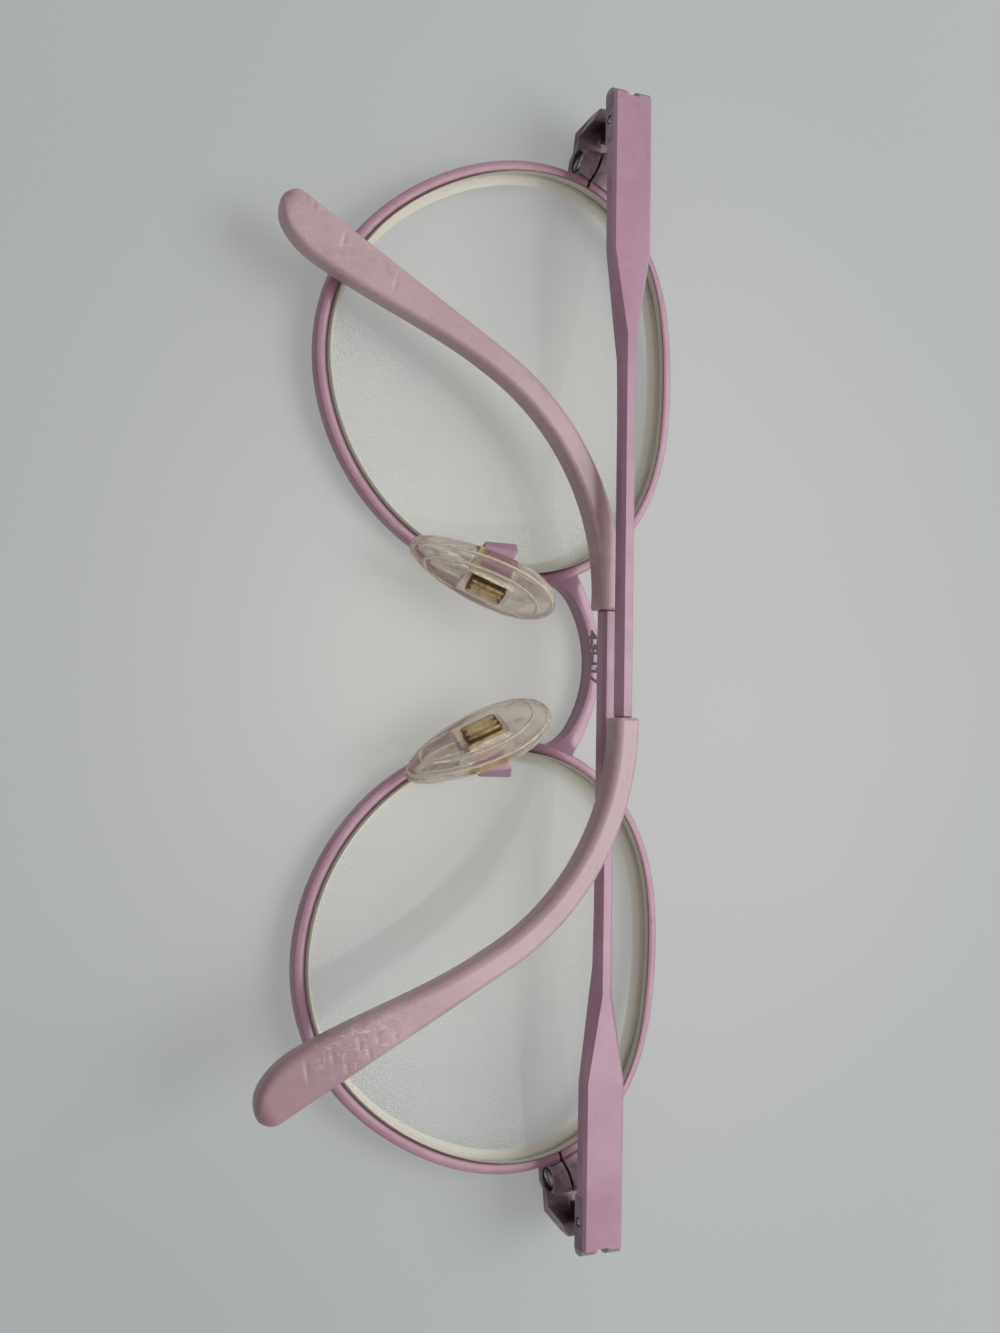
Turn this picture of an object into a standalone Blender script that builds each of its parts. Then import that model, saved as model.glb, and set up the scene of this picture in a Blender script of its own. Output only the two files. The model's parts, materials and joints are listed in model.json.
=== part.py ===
"""Small round metal eyeglass frame with its temples folded.

Metres, +Z up.  The glasses lie on their front, so +Z points from the lenses towards the
wearer's face, +Y to the wearer's brow and +X to the wearer's right.  The front rests on z = 0.
Every side piece is drawn once for the right side, with u running outwards from the nose, and is
mirrored for the left.  A temple is drawn in its own directions: s runs from the hinge pin to the
tip, n is the temple's outer side, which faces up while it is folded.
"""
import math

import bpy
from mathutils import Matrix, Vector

# Lenses, on the boxing system: lens box, and the least distance between the lenses.
LENS_WIDTH = 0.043
LENS_HEIGHT = 0.0393
LENS_DISTANCE = 0.0174
LENS_OVAL = 0.040
LENS_PANTO = 0.038
LENS_CORNER = 0.007
FACE_WRAP = math.radians(3.0)
FRONT_CURVE = 0.200
BACK_CURVE = 0.110
LENS_CENTRE_THICK = 0.0014

# Rim wire: the lens bevel's tip runs in its groove.
RIM_DEPTH = 0.0018
RIM_WALL = 0.00062
RIM_LIP = 0.00055
RIM_ROUND = 0.00028
BEVEL_HALF = 0.0005
BEVEL_CLEAR = 0.0001
LENS_EDGE_CLEAR = 0.00012

# Gaps: between brazed or seated pieces, and in the hinges and the pad mounts.
SEAT_GAP = 0.0001
BRAZE_GAP = 0.00005
HINGE_GAP = 0.00012
PIN_GAP = 0.00006

# Bridge: an arched strip between the rims, deeper where it joins them.
BRIDGE_UNDER = 0.0116
BRIDGE_TOP = 0.0127
BRIDGE_UNDER_RADIUS = 0.0122
BRIDGE_TOP_RADIUS = 0.0165
BRIDGE_DEPTH = 0.0022
BRIDGE_FRONT = 0.0001
BRIDGE_REACH = 0.0112

# Closing block: it holds the rim's ends shut with a screw, so that the lens can be changed.
CLOSING_HEIGHT = 0.0089
CLOSING_TILT = math.radians(18.0)
CLOSING_SPLIT = 0.0003
LOWER_BLOCK = 0.0015
LOWER_BLOCK_TILT = math.radians(5.0)
BLOCK_REACH = 0.0032
BLOCK_FRONT = -0.0009
BLOCK_BACK = 0.0027
CLOSING_SCREW_OUT = 0.0020
CLOSING_SCREW_BACK = 0.0012
CLOSING_HEAD_RADIUS = 0.00105
CLOSING_HEAD_HIGH = 0.0005
CLOSING_SHAFT_RADIUS = 0.0005
CLOSING_SHAFT_LONG = 0.0032
SPOT_FACE_RADIUS = 0.00118
SPOT_FACE_DEPTH = 0.0006
ROOM_FRONT = -0.0030
ROOM_BACK = 0.0060
ROOM_UNDER = 0.0040

# Endpiece and hinge: its tongue turns in a slotted block brazed under the temple's plate.
PIN_OUT = LENS_WIDTH / 2 + 0.00478
PIN_BACK = 0.00627
PIN_TO_FACE = 0.00125
HINGE_HEIGHT = 0.01062
TONGUE_THICK = 0.0010
TONGUE_RADIUS = 0.0008
FORK_END = 0.00325
FORK_ROOT = 0.0026
FORK_INNER = 0.0008
FORK_HEIGHT = 0.0044
FORK_SKIN = 0.0003
FORK_SLOT_END = 0.0012
PIN_RADIUS = 0.0004
PIN_HEAD_RADIUS = 0.00055
PIN_HEAD_HIGH = 0.00045
SLOT_WIDTH = 0.00028
ENDPIECE_THICK = 0.0015
ENDPIECE_OUT = 0.0025
ENDPIECE_RISE = 0.0016
ENDPIECE_BEND = 0.0019
ENDPIECE_BEND_IN = 0.0027
ENDPIECE_LIP = 0.0015
ENDPIECE_ROUND = 0.0004
STOP_CLEAR = 0.0002

# Temple: plate, tapered neck, bar, and a plastic tip on the bar's thinner core.
PLATE_HEIGHT = 0.0046
PLATE_THICK = 0.0016
PLATE_BEVEL = 0.00035
PLATE_END = 0.0029
PLATE_LENGTH = 0.0138
NECK_RIDGE = 0.0225
NECK_END = NECK_RIDGE + 0.0027
BAR_START = NECK_END + 0.006
BAR_HEIGHT = 0.0015
BAR_DEPTH = 0.0019
BAR_BEVEL = 0.0004
TIP_START = 0.0616
CORE_WIDTH = 0.0013
CORE_END = 0.1060
BEND_RADIUS = 0.0262
RIGHT_BEND = (0.0633, math.radians(59.6))
LEFT_BEND = (0.0622, math.radians(60.4))
TEMPLE_LENGTH = 0.1169
TIP_WIDTH = 0.00265
TIP_THICK = 0.0025
PADDLE_WIDTH = 0.0048
PADDLE_THICK = 0.0024
PADDLE_GROWS = 0.0915
PADDLE_FULL = 0.1130
TIP_HEEL = 0.0062
TIP_NOSE = 0.0015
RIGHT_REST = math.radians(-1.8)
LEFT_REST = math.radians(1.9)

# Nose pads: a soft pad on a brass insert, screwed into a box on the pad arm.
PAD_LENGTH = 0.0160
PAD_WIDTH = 0.0076
PAD_FRONT = 0.0016
PAD_BACK = 0.0015
PAD_EGG = 0.24
PAD_CENTRE = (0.0078, -0.0034, 0.0066)
RIGHT_PAD_OUT = 0.00022
RIGHT_PAD_LEAN = math.radians(-26.0)
LEFT_PAD_LEAN = math.radians(-22.0)
PAD_RISE = math.radians(12.0)
PAD_SPLAY = math.radians(30.0)
RIGHT_PAD_ROCK = math.radians(5.0)
LEFT_PAD_ROCK = math.radians(-3.0)
PAD_AXIS_BACK = 0.0006
PAD_AXIS_UP = 0.0007
BOX_LENGTH = 0.0040
BOX_WIDTH = 0.0023
BOX_DEPTH = 0.0022
BOX_WALL = 0.0005
BOX_FLOOR = 0.00025
INSERT_WIDTH = 0.0010
INSERT_ROOT = 0.00035
PAD_SCREW_RADIUS = 0.00035
PAD_SCREW_HEAD = 0.0006
PAD_SCREW_HEAD_HIGH = 0.0003
PAD_POCKET_CLEAR = 0.00035
PAD_POCKET_RISE = 0.00025
ARM_WIDTH = 0.0037
ARM_FOOT_WIDTH = 0.0024
ARM_THICK = 0.0007
ARM_LIFT = 0.0012
ARM_SEAT_IN = 0.0002
ARM_FOOT = (0.0004, 0.0009)
ARM_KNEE = (0.0014, 0.0020)
ARM_SHIN = (0.0024, 0.0027)
ARM_HIP = (0.0028, 0.0035)
ARM_CREST = (0.0023, 0.0041)

SIDES = (("right", 1), ("left", -1))
RIM_STEPS = 80
ROUND_STEPS = 16
CORE_STEPS = 16
TIP_STEPS = 20


def make_material(name, colour, roughness, metallic=0.0, transmission=0.0):
    """Make one Principled material."""
    material = bpy.data.materials.new(name)
    material.use_nodes = True
    shader = material.node_tree.nodes["Principled BSDF"]
    shader.inputs["Base Color"].default_value = (*colour, 1.0)
    shader.inputs["Roughness"].default_value = roughness
    shader.inputs["Metallic"].default_value = metallic
    shader.inputs["Transmission Weight"].default_value = transmission
    return material


def make_materials():
    """Make the finishes that the photograph shows."""
    return {
        "paint": make_material("rose_paint", (0.40, 0.22, 0.28), 0.34, 0.35),
        "steel": make_material("worn_steel", (0.35, 0.33, 0.34), 0.35, 1.0),
        "brass": make_material("pad_brass", (0.55, 0.40, 0.16), 0.28, 1.0),
        "tip": make_material("tip_plastic", (0.52, 0.34, 0.35), 0.45),
        "pad": make_material("pad_silicone", (0.86, 0.80, 0.74), 0.18, 0.0, 0.85),
        "lens": make_material("lens_clear", (0.96, 0.97, 0.94), 0.02, 0.0, 1.0),
    }


def lens_shape(angle):
    """Return a point of the lens outline before it is scaled to its box."""
    radius = (1.0 + LENS_OVAL * math.cos(2 * angle) + LENS_PANTO * math.sin(3 * angle)
              - LENS_CORNER * math.cos(4 * angle) + LENS_CORNER * math.sin(4 * angle))
    return radius * math.cos(angle), radius * math.sin(angle)


def shape_box():
    """Return the centre and size of the unscaled outline."""
    points = [lens_shape(math.radians(degree)) for degree in range(360)]
    xs = [p[0] for p in points]
    ys = [p[1] for p in points]
    centre = ((max(xs) + min(xs)) / 2, (max(ys) + min(ys)) / 2)
    return centre, (max(xs) - min(xs), max(ys) - min(ys))


SHAPE_CENTRE, SHAPE_SIZE = shape_box()


def lens_outline(angle, offset=0.0):
    """Return a point offset outwards from the lens bevel's tip, about the lens box's centre."""
    def scaled(a):
        x, y = lens_shape(a)
        return (Vector(((x - SHAPE_CENTRE[0]) * LENS_WIDTH / SHAPE_SIZE[0],
                        (y - SHAPE_CENTRE[1]) * LENS_HEIGHT / SHAPE_SIZE[1])))
    step = 0.001
    along = scaled(angle + step) - scaled(angle - step)
    outwards = Vector((along.y, -along.x)).normalized()
    return scaled(angle) + outwards * offset


def angle_at_height(height, offset):
    """Return the angle at which the outer side of the offset outline reaches a height."""
    low, high = math.radians(-60.0), math.radians(60.0)
    for _ in range(40):
        middle = (low + high) / 2
        if lens_outline(middle, offset).y < height:
            low = middle
        else:
            high = middle
    return (low + high) / 2


RIM_OUT = RIM_WALL
CLOSING_ANGLE = angle_at_height(CLOSING_HEIGHT, RIM_OUT)
CLOSING_X = lens_outline(CLOSING_ANGLE, RIM_OUT).x
NASAL_REACH = -min(lens_outline(math.radians(d), RIM_OUT).x for d in range(120, 241))
LENS_U = LENS_DISTANCE / 2 - RIM_OUT + NASAL_REACH * math.cos(FACE_WRAP)
LENS_Z = NASAL_REACH * math.sin(FACE_WRAP)


def add_solid(name, solid, side, parent, material, smooth=35.0):
    """Make an object from vertices and faces drawn for the right side."""
    vertices, faces = solid
    placed = [(side * x, y, z) for x, y, z in vertices]
    wound = faces if side > 0 else [tuple(reversed(face)) for face in faces]
    mesh = bpy.data.meshes.new(name)
    mesh.from_pydata(placed, [], wound)
    mesh.materials.append(material)
    mesh.shade_smooth()
    mesh.set_sharp_from_angle(angle=math.radians(smooth))
    item = bpy.data.objects.new(name, mesh)
    bpy.context.collection.objects.link(item)
    item.parent = parent
    return item


def add_empty(name, matrix, parent):
    """Make an empty that carries a group of pieces."""
    item = bpy.data.objects.new(name, None)
    bpy.context.collection.objects.link(item)
    item.parent = parent
    item.matrix_local = matrix
    item.empty_display_size = 0.005
    return item


def apply_boolean(target, tool, operation):
    """Cut a tool from an object, or join it on, and keep the tool as a hidden guide."""
    tool.hide_render = True
    tool.display_type = "WIRE"
    modifier = target.modifiers.new(operation.lower(), "BOOLEAN")
    modifier.operation = operation
    modifier.solver = "EXACT"
    modifier.object = tool


def loft(rings):
    """Skin rings of equal count; a ring runs anticlockwise seen from the loft's far end."""
    count = len(rings[0])
    vertices = [tuple(point) for ring in rings for point in ring]
    faces = []
    for row in range(len(rings) - 1):
        here = row * count
        there = here + count
        for i in range(count):
            j = (i + 1) % count
            faces.append((here + i, here + j, there + j, there + i))
    faces.append(tuple(reversed(range(count))))
    faces.append(tuple(range((len(rings) - 1) * count, len(rings) * count)))
    return vertices, faces


def prism(points, low, high):
    """Raise an outline of (x, z) points along +Y; low and high may be functions of x."""
    if signed_area(points) < 0:
        points = list(reversed(points))
    bottom = low if callable(low) else (lambda x: low)
    top = high if callable(high) else (lambda x: high)
    rings = [[(x, top(x), z) for x, z in points], [(x, bottom(x), z) for x, z in points]]
    return loft(rings)


def signed_area(points):
    """Return an outline's area, positive when it runs anticlockwise."""
    following = points[1:] + points[:1]
    return sum(a[0] * b[1] - b[0] * a[1] for a, b in zip(points, following)) / 2


def arc_points(centre, radius, start, end, steps):
    """Return points on an arc, ends included; angles in degrees."""
    points = []
    for i in range(steps + 1):
        angle = math.radians(start + (end - start) * i / steps)
        points.append((centre[0] + radius * math.cos(angle), centre[1] + radius * math.sin(angle)))
    return points


def turned(profile, steps=ROUND_STEPS):
    """Turn (radius, height) points about the +Y axis, from the lowest point to the highest."""
    rings = []
    for radius, height in profile:
        ring = []
        for i in range(steps):
            angle = -2 * math.pi * i / steps
            ring.append((radius * math.cos(angle), height, radius * math.sin(angle)))
        rings.append(ring)
    return loft(rings)


def moved(solid, matrix):
    """Return a solid moved by a matrix."""
    vertices, faces = solid
    return [tuple(matrix @ Vector(v)) for v in vertices], faces


def slab(low, high):
    """Return a box between two corners."""
    outline = [(low[0], low[2]), (high[0], low[2]), (high[0], high[2]), (low[0], high[2])]
    return prism(outline, low[1], high[1])


def rim_profile():
    """Return the rim wire's section as (outwards, back) points round its groove."""
    deep, out, lip, turn = RIM_DEPTH, RIM_OUT, -RIM_LIP, RIM_ROUND
    groove = RIM_DEPTH / 2
    mouth = BEVEL_HALF + BEVEL_CLEAR
    return [
        (lip + turn, 0.0), (out - turn, 0.0), (out - 0.3 * turn, 0.3 * turn), (out, turn),
        (out, deep - turn), (out - 0.3 * turn, deep - 0.3 * turn), (out - turn, deep),
        (lip + turn, deep), (lip, deep - 0.7 * turn), (lip, groove + mouth),
        (BEVEL_CLEAR, groove), (lip, groove - mouth), (lip, 0.7 * turn),
    ]


def rim_solid():
    """Sweep the rim's section round the lens, open at the closing block."""
    half_split = CLOSING_SPLIT / 2 / (LENS_WIDTH / 2)
    start = CLOSING_ANGLE + half_split
    turn = 2 * math.pi - 2 * half_split
    rings = []
    for i in range(RIM_STEPS + 1):
        angle = start + turn * i / RIM_STEPS
        ring = []
        for out, back in reversed(rim_profile()):
            point = lens_outline(angle, out)
            ring.append((point.x, point.y, back))
        rings.append(ring)
    return loft(rings)


def rim_envelope():
    """Return the space that the rim fills seen from the front, with a seat gap round it."""
    outline = []
    for i in range(RIM_STEPS):
        point = lens_outline(CLOSING_ANGLE + 2 * math.pi * i / RIM_STEPS, RIM_OUT + SEAT_GAP)
        outline.append(point)
    low, high = ROOM_FRONT, ROOM_BACK + 0.002
    return loft([[(p.x, p.y, low) for p in outline], [(p.x, p.y, high) for p in outline]])


def sphere_drop(radius, distance):
    """Return how far a spherical surface falls away at a distance from its pole."""
    return radius - math.sqrt(radius * radius - distance * distance)


def lens_solid():
    """Make a thin minus lens, its edge ground to a bevel that sits in the rim's groove."""
    groove = RIM_DEPTH / 2
    edge_reach = LENS_WIDTH / 2 - RIM_LIP
    front_edge = groove - BEVEL_HALF
    front_pole = front_edge - sphere_drop(FRONT_CURVE, edge_reach)
    back_pole = front_pole + LENS_CENTRE_THICK
    inset = -(RIM_LIP + LENS_EDGE_CLEAR)

    def surface(pole, curve, share):
        ring = []
        for i in range(RIM_STEPS):
            point = lens_outline(2 * math.pi * i / RIM_STEPS, inset) * share
            ring.append((point.x, point.y, pole + sphere_drop(curve, point.length)))
        return ring

    def edge(offset, back):
        points = [lens_outline(2 * math.pi * i / RIM_STEPS, offset) for i in range(RIM_STEPS)]
        return [(p.x, p.y, back) for p in points]

    shares = (0.15, 0.55, 1.0)
    rings = [surface(front_pole, FRONT_CURVE, share) for share in shares]
    rings.append(edge(-BEVEL_CLEAR, groove))
    rings.append(edge(inset, groove + BEVEL_HALF))
    rings += [surface(back_pole, BACK_CURVE, share) for share in reversed(shares)]
    return loft(rings)


def bridge_solid():
    """Make the arched strip, longer than the gap, for the rims' spaces to be cut from."""
    def arch(top, radius, reach):
        half = math.degrees(math.asin(reach / radius))
        return arc_points((0.0, top - radius), radius, 90 + half, 90 - half, 20)
    over = arch(BRIDGE_TOP, BRIDGE_TOP_RADIUS, BRIDGE_REACH)
    under = arch(BRIDGE_UNDER, BRIDGE_UNDER_RADIUS, BRIDGE_REACH - 0.0008)
    outline = list(reversed(over + list(reversed(under))))
    low, high = BRIDGE_FRONT, BRIDGE_FRONT + BRIDGE_DEPTH
    return loft([[(x, y, low) for x, y in outline], [(x, y, high) for x, y in outline]])


def block_outline():
    """Return the closing block's (x, z) outline, from inside the rim to its outer end."""
    x = CLOSING_X
    end = x + BLOCK_REACH
    return [
        (x - 0.0012, BLOCK_FRONT), (end - 0.0006, BLOCK_FRONT), (end, BLOCK_FRONT + 0.0006),
        (end, BLOCK_BACK - 0.0006), (end - 0.0006, BLOCK_BACK), (x + 0.0012, BLOCK_BACK),
        (x, RIM_DEPTH + 0.0001), (x - 0.0012, RIM_DEPTH),
    ]


def split_height(gap):
    """Return the height of the tilted split as a function of x, with a gap to one side."""
    return lambda x: CLOSING_HEIGHT + (x - CLOSING_X) * math.tan(CLOSING_TILT) + gap


def lower_block_under(x):
    """Return the height of the lower block's underside."""
    return CLOSING_HEIGHT - LOWER_BLOCK + (x - CLOSING_X) * math.tan(LOWER_BLOCK_TILT)


def lower_block_solid():
    """Make the half of the closing block on the rim's lower end."""
    return prism(block_outline(), lower_block_under, split_height(-CLOSING_SPLIT / 2))


def closing_matrix():
    """Return the closing screw's place: its +Y axis runs from its head into the upper block."""
    x = CLOSING_X + CLOSING_SCREW_OUT
    turn = Matrix.Rotation(CLOSING_TILT, 4, "Z")
    return Matrix.Translation((x, lower_block_under(x), CLOSING_SCREW_BACK)) @ turn


def closing_hole(clearance):
    """Return the stepped hole for the closing screw, open below the block."""
    floor = SPOT_FACE_DEPTH
    shaft = CLOSING_SHAFT_RADIUS + clearance
    end = CLOSING_SHAFT_LONG + SPOT_FACE_DEPTH - CLOSING_HEAD_HIGH + 0.0006
    profile = [(SPOT_FACE_RADIUS, -0.001), (SPOT_FACE_RADIUS, floor), (shaft, floor), (shaft, end)]
    return moved(turned(profile), closing_matrix())


def screw_solid(head_radius, head_high, shaft_radius, shaft_long):
    """Make a screw along +Y, its head's face at zero, with a driver slot across the head."""
    slot = 0.45 * head_high
    half = SLOT_WIDTH / 2
    chamfer = 0.12 * head_radius
    profile = [
        (head_radius - chamfer, 0.0), (head_radius, chamfer), (head_radius, head_high),
        (shaft_radius, head_high + 0.00005), (shaft_radius, head_high + shaft_long - 0.0001),
        (shaft_radius - 0.0001, head_high + shaft_long),
    ]
    groove = slab((-2 * head_radius, -0.001, -half), (2 * head_radius, slot, half))
    return turned(profile), groove


def add_screw(name, matrix, sizes, side, parent, material):
    """Add a slotted screw at a place drawn for the right side."""
    body, groove = screw_solid(*sizes)
    screw = add_solid(name, moved(body, matrix), side, parent, material)
    tool = add_solid("guide_" + name, moved(groove, matrix), side, parent, material)
    apply_boolean(screw, tool, "DIFFERENCE")
    return screw


def endpiece_outline():
    """Return the endpiece's (x, z) outline: upper half of the closing block, then the elbow."""
    stop = PIN_BACK - FORK_END - STOP_CLEAR
    outer = PIN_OUT + ENDPIECE_OUT
    thick = ENDPIECE_THICK
    block = block_outline()
    turn = ENDPIECE_ROUND
    return [block[0], (outer - ENDPIECE_BEND, BLOCK_FRONT), (outer - turn, stop - ENDPIECE_LIP),
            (outer, stop - turn), (outer - 0.3 * turn, stop), (outer - thick, stop),
            (outer - ENDPIECE_BEND_IN, BLOCK_FRONT + thick),
            (block[3][0], BLOCK_FRONT + thick)] + block[3:]


def endpiece_under(x):
    """Return the height of the endpiece's underside, which rises from the block to its end."""
    start = CLOSING_X + BLOCK_REACH
    share = min(max((x - start) / (PIN_OUT + ENDPIECE_OUT - start), 0.0), 1.0)
    return lower_block_under(start) + ENDPIECE_RISE * share ** 2


def tongue_outline():
    """Return the tongue's (x, z) outline: a round eye on a neck from the endpiece."""
    root = PIN_BACK - FORK_END - STOP_CLEAR - 0.0015
    right, left = 0.0006, -0.0008
    start = -math.degrees(math.acos(right / TONGUE_RADIUS))
    end = 360 - math.degrees(math.acos(left / TONGUE_RADIUS))
    eye = arc_points((PIN_OUT, PIN_BACK), TONGUE_RADIUS, start, end, 20)
    return [(PIN_OUT + right, root)] + eye + [(PIN_OUT + left, root)]


def add_front_side(label, side, root, paint, steel, lens_material):
    """Add one rim, its lens, its closing block and its endpiece, in the lens's own plane."""
    turn = Matrix.Rotation(-side * FACE_WRAP, 4, "Y")
    place = Matrix.Translation((side * LENS_U, 0.0, LENS_Z)) @ turn
    datum = add_empty(f"lens_datum_{label}", place, root)
    add_solid(f"rim_{label}", rim_solid(), side, datum, paint)
    add_solid(f"lens_{label}", lens_solid(), side, datum, lens_material)
    envelope = add_solid(f"guide_rim_space_{label}", rim_envelope(), side, datum, paint)

    lower = add_solid(f"closing_block_{label}", lower_block_solid(), side, datum, paint)
    hole = add_solid(f"guide_closing_hole_{label}", closing_hole(PIN_GAP), side, datum, steel)
    apply_boolean(lower, envelope, "DIFFERENCE")
    apply_boolean(lower, hole, "DIFFERENCE")

    top = HINGE_HEIGHT + PLATE_HEIGHT / 2 - SEAT_GAP
    endpiece = add_solid(f"endpiece_{label}", prism(endpiece_outline(), endpiece_under, top),
                         side, datum, paint)
    near, far = CLOSING_X - 0.002, CLOSING_X + BLOCK_REACH + SEAT_GAP
    room = prism([(near, ROOM_FRONT), (far, ROOM_FRONT), (far, ROOM_BACK), (near, ROOM_BACK)],
                 CLOSING_HEIGHT - ROOM_UNDER, split_height(CLOSING_SPLIT / 2))
    room_tool = add_solid(f"guide_block_room_{label}", room, side, datum, paint)
    middle = TONGUE_THICK / 2
    tongue = prism(tongue_outline(), HINGE_HEIGHT - middle, HINGE_HEIGHT + middle)
    tongue_tool = add_solid(f"guide_tongue_{label}", tongue, side, datum, paint)
    pin_hole = moved(turned([(PIN_RADIUS + PIN_GAP, -0.004), (PIN_RADIUS + PIN_GAP, 0.004)]),
                     Matrix.Translation((PIN_OUT, HINGE_HEIGHT, PIN_BACK)))
    pin_tool = add_solid(f"guide_tongue_hole_{label}", pin_hole, side, datum, steel)
    apply_boolean(endpiece, room_tool, "DIFFERENCE")
    apply_boolean(endpiece, envelope, "DIFFERENCE")
    apply_boolean(endpiece, hole, "DIFFERENCE")
    apply_boolean(endpiece, tongue_tool, "UNION")
    apply_boolean(endpiece, pin_tool, "DIFFERENCE")

    head = Matrix.Translation((0.0, SPOT_FACE_DEPTH - CLOSING_HEAD_HIGH, 0.0))
    sizes = (CLOSING_HEAD_RADIUS, CLOSING_HEAD_HIGH - 0.00005, CLOSING_SHAFT_RADIUS,
             CLOSING_SHAFT_LONG)
    add_screw(f"closing_screw_{label}", closing_matrix() @ head, sizes, side, datum, steel)
    return place, envelope


def temple_path(distance, bend):
    """Return (s, height, heading) at a distance along the temple's middle line."""
    start, turn = bend
    if distance <= start:
        return distance, 0.0, 0.0
    heading = min((distance - start) / BEND_RADIUS, turn)
    beyond = distance - start - BEND_RADIUS * heading
    s = start + BEND_RADIUS * math.sin(heading) + beyond * math.cos(heading)
    height = -BEND_RADIUS * (1 - math.cos(heading)) - beyond * math.sin(heading)
    return s, height, heading


def temple_point(distance, across, n, bend):
    """Return a point beside the temple's middle line, folded, drawn for the right side."""
    s, height, heading = temple_path(distance, bend)
    s += across * math.sin(heading)
    height += across * math.cos(heading)
    return (-s, height, n)


def plate_ring(bend, distance, half, flat, inner, outer, bevel, inner_bevel):
    """Return an eight-sided section of the temple's plate, neck or bar."""
    section = [
        (-flat, outer), (flat, outer), (half, outer - bevel), (half, inner + inner_bevel),
        (half - inner_bevel, inner), (inner_bevel - half, inner), (-half, inner + inner_bevel),
        (-half, outer - bevel),
    ]
    return [temple_point(distance, across, n, bend) for across, n in reversed(section)]


def temple_solid(bend):
    """Loft the temple's metal: plate, tapered neck, bar, and the core inside its tip."""
    outer = PIN_TO_FACE
    inner = outer - PLATE_THICK
    half = PLATE_HEIGHT / 2
    flat = half - PLATE_BEVEL
    bar_in = outer - BAR_DEPTH
    bar_half = BAR_HEIGHT / 2
    bar_flat = bar_half - BAR_BEVEL * 0.8
    core_n = (outer + bar_in) / 2
    core = CORE_WIDTH / 2
    end_bevel = 0.00025
    rings = [
        plate_ring(bend, -PLATE_END, half - end_bevel, flat - end_bevel, inner, outer - end_bevel,
                   0.0001, 0.0001),
        plate_ring(bend, end_bevel - PLATE_END, half, flat, inner, outer, PLATE_BEVEL, 0.0001),
        plate_ring(bend, PLATE_LENGTH, half, flat, inner, outer, PLATE_BEVEL, 0.0002),
        plate_ring(bend, NECK_RIDGE, 0.0012, 0.00042, bar_in + 0.0001, outer, 0.00105, 0.0003),
        plate_ring(bend, NECK_END, bar_half + 0.0001, bar_flat, bar_in, outer, BAR_BEVEL,
                   BAR_BEVEL),
        plate_ring(bend, BAR_START, bar_half, bar_flat, bar_in, outer, BAR_BEVEL,
                   BAR_BEVEL),
        plate_ring(bend, TIP_START - 0.0001, bar_half, bar_flat, bar_in, outer, BAR_BEVEL,
                   BAR_BEVEL),
    ]
    for i in range(CORE_STEPS + 1):
        distance = TIP_START + (CORE_END - TIP_START) * i / CORE_STEPS
        rings.append(plate_ring(bend, distance, core, 0.7 * core, core_n - core, core_n + core,
                                0.3 * core, 0.3 * core))
    return loft(rings)


def tip_ring(bend, distance, steps=14):
    """Return the plastic tip's section, which widens on its under side to a heel at its end."""
    grown = min(max((distance - PADDLE_GROWS) / (PADDLE_FULL - PADDLE_GROWS), 0.0), 1.0)
    grown = grown * grown * (3 - 2 * grown)
    heel = max(distance - TEMPLE_LENGTH + TIP_HEEL, 0.0) / TIP_HEEL
    nose = max(distance - TEMPLE_LENGTH + TIP_NOSE, 0.0) / TIP_NOSE
    top = TIP_WIDTH / 2 * math.sqrt(1 - nose ** 2)
    under = (TIP_WIDTH / 2 + (PADDLE_WIDTH - TIP_WIDTH) * grown) * math.sqrt(1 - heel ** 2.4)
    middle, half_width = (top - under) / 2, (top + under) / 2
    half_thick = (TIP_THICK + (PADDLE_THICK - TIP_THICK) * grown) / 2
    half_thick *= (1 - nose ** 2.2) ** 0.5
    power = 2 / (2.3 + 0.7 * grown)
    centre = PIN_TO_FACE - BAR_DEPTH / 2
    ring = []
    for i in range(steps):
        angle = -2 * math.pi * i / steps
        c, s = math.cos(angle), math.sin(angle)
        across = middle + half_width * math.copysign(abs(c) ** power, c)
        n = centre + half_thick * math.copysign(abs(s) ** power, s)
        ring.append(temple_point(distance, across, n, bend))
    return ring


def bore_ring(bend, distance, steps=14):
    """Return the section of the tip's bore, which fits the core with a seat gap."""
    half = CORE_WIDTH / 2 + SEAT_GAP
    middle = PIN_TO_FACE - BAR_DEPTH / 2
    ring = []
    for i in range(steps):
        angle = -2 * math.pi * i / steps
        reach = half * 1.12 / max(abs(math.cos(angle)), abs(math.sin(angle)))
        reach = min(reach, half * 1.32)
        across, n = reach * math.cos(angle), middle + reach * math.sin(angle)
        ring.append(temple_point(distance, across, n, bend))
    return ring


def tip_solid(bend):
    """Loft the plastic tip from its rounded end to its mouth, and back along its bore."""
    mouth = TIP_START + SEAT_GAP / 2
    rings = []
    for share in (0.985, 0.9, 0.75, 0.5, 0.2):
        rings.append(tip_ring(bend, TEMPLE_LENGTH - TIP_NOSE * (1 - share)))
    for share in (0.65, 0.52, 0.38, 0.2, 0.0):
        rings.append(tip_ring(bend, TEMPLE_LENGTH - TIP_HEEL * (1 - share)))
    last = TEMPLE_LENGTH - TIP_HEEL
    edge = 0.0004
    for i in range(1, TIP_STEPS + 1):
        rings.append(tip_ring(bend, last + (mouth + edge - last) * i / TIP_STEPS))
    centre = Vector(temple_point(mouth, 0.0, PIN_TO_FACE - BAR_DEPTH / 2, bend))
    rings.append([centre.lerp(Vector(point), 0.9) for point in tip_ring(bend, mouth)])
    bore_end = CORE_END + 2 * SEAT_GAP
    for i in range(CORE_STEPS + 1):
        rings.append(bore_ring(bend, mouth + (bore_end - mouth) * i / CORE_STEPS))
    return loft([list(reversed(ring)) for ring in rings])


def fork_top():
    """Return how far the fork's block reaches up under the plate's skin."""
    return PIN_TO_FACE - FORK_SKIN - BRAZE_GAP


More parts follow.
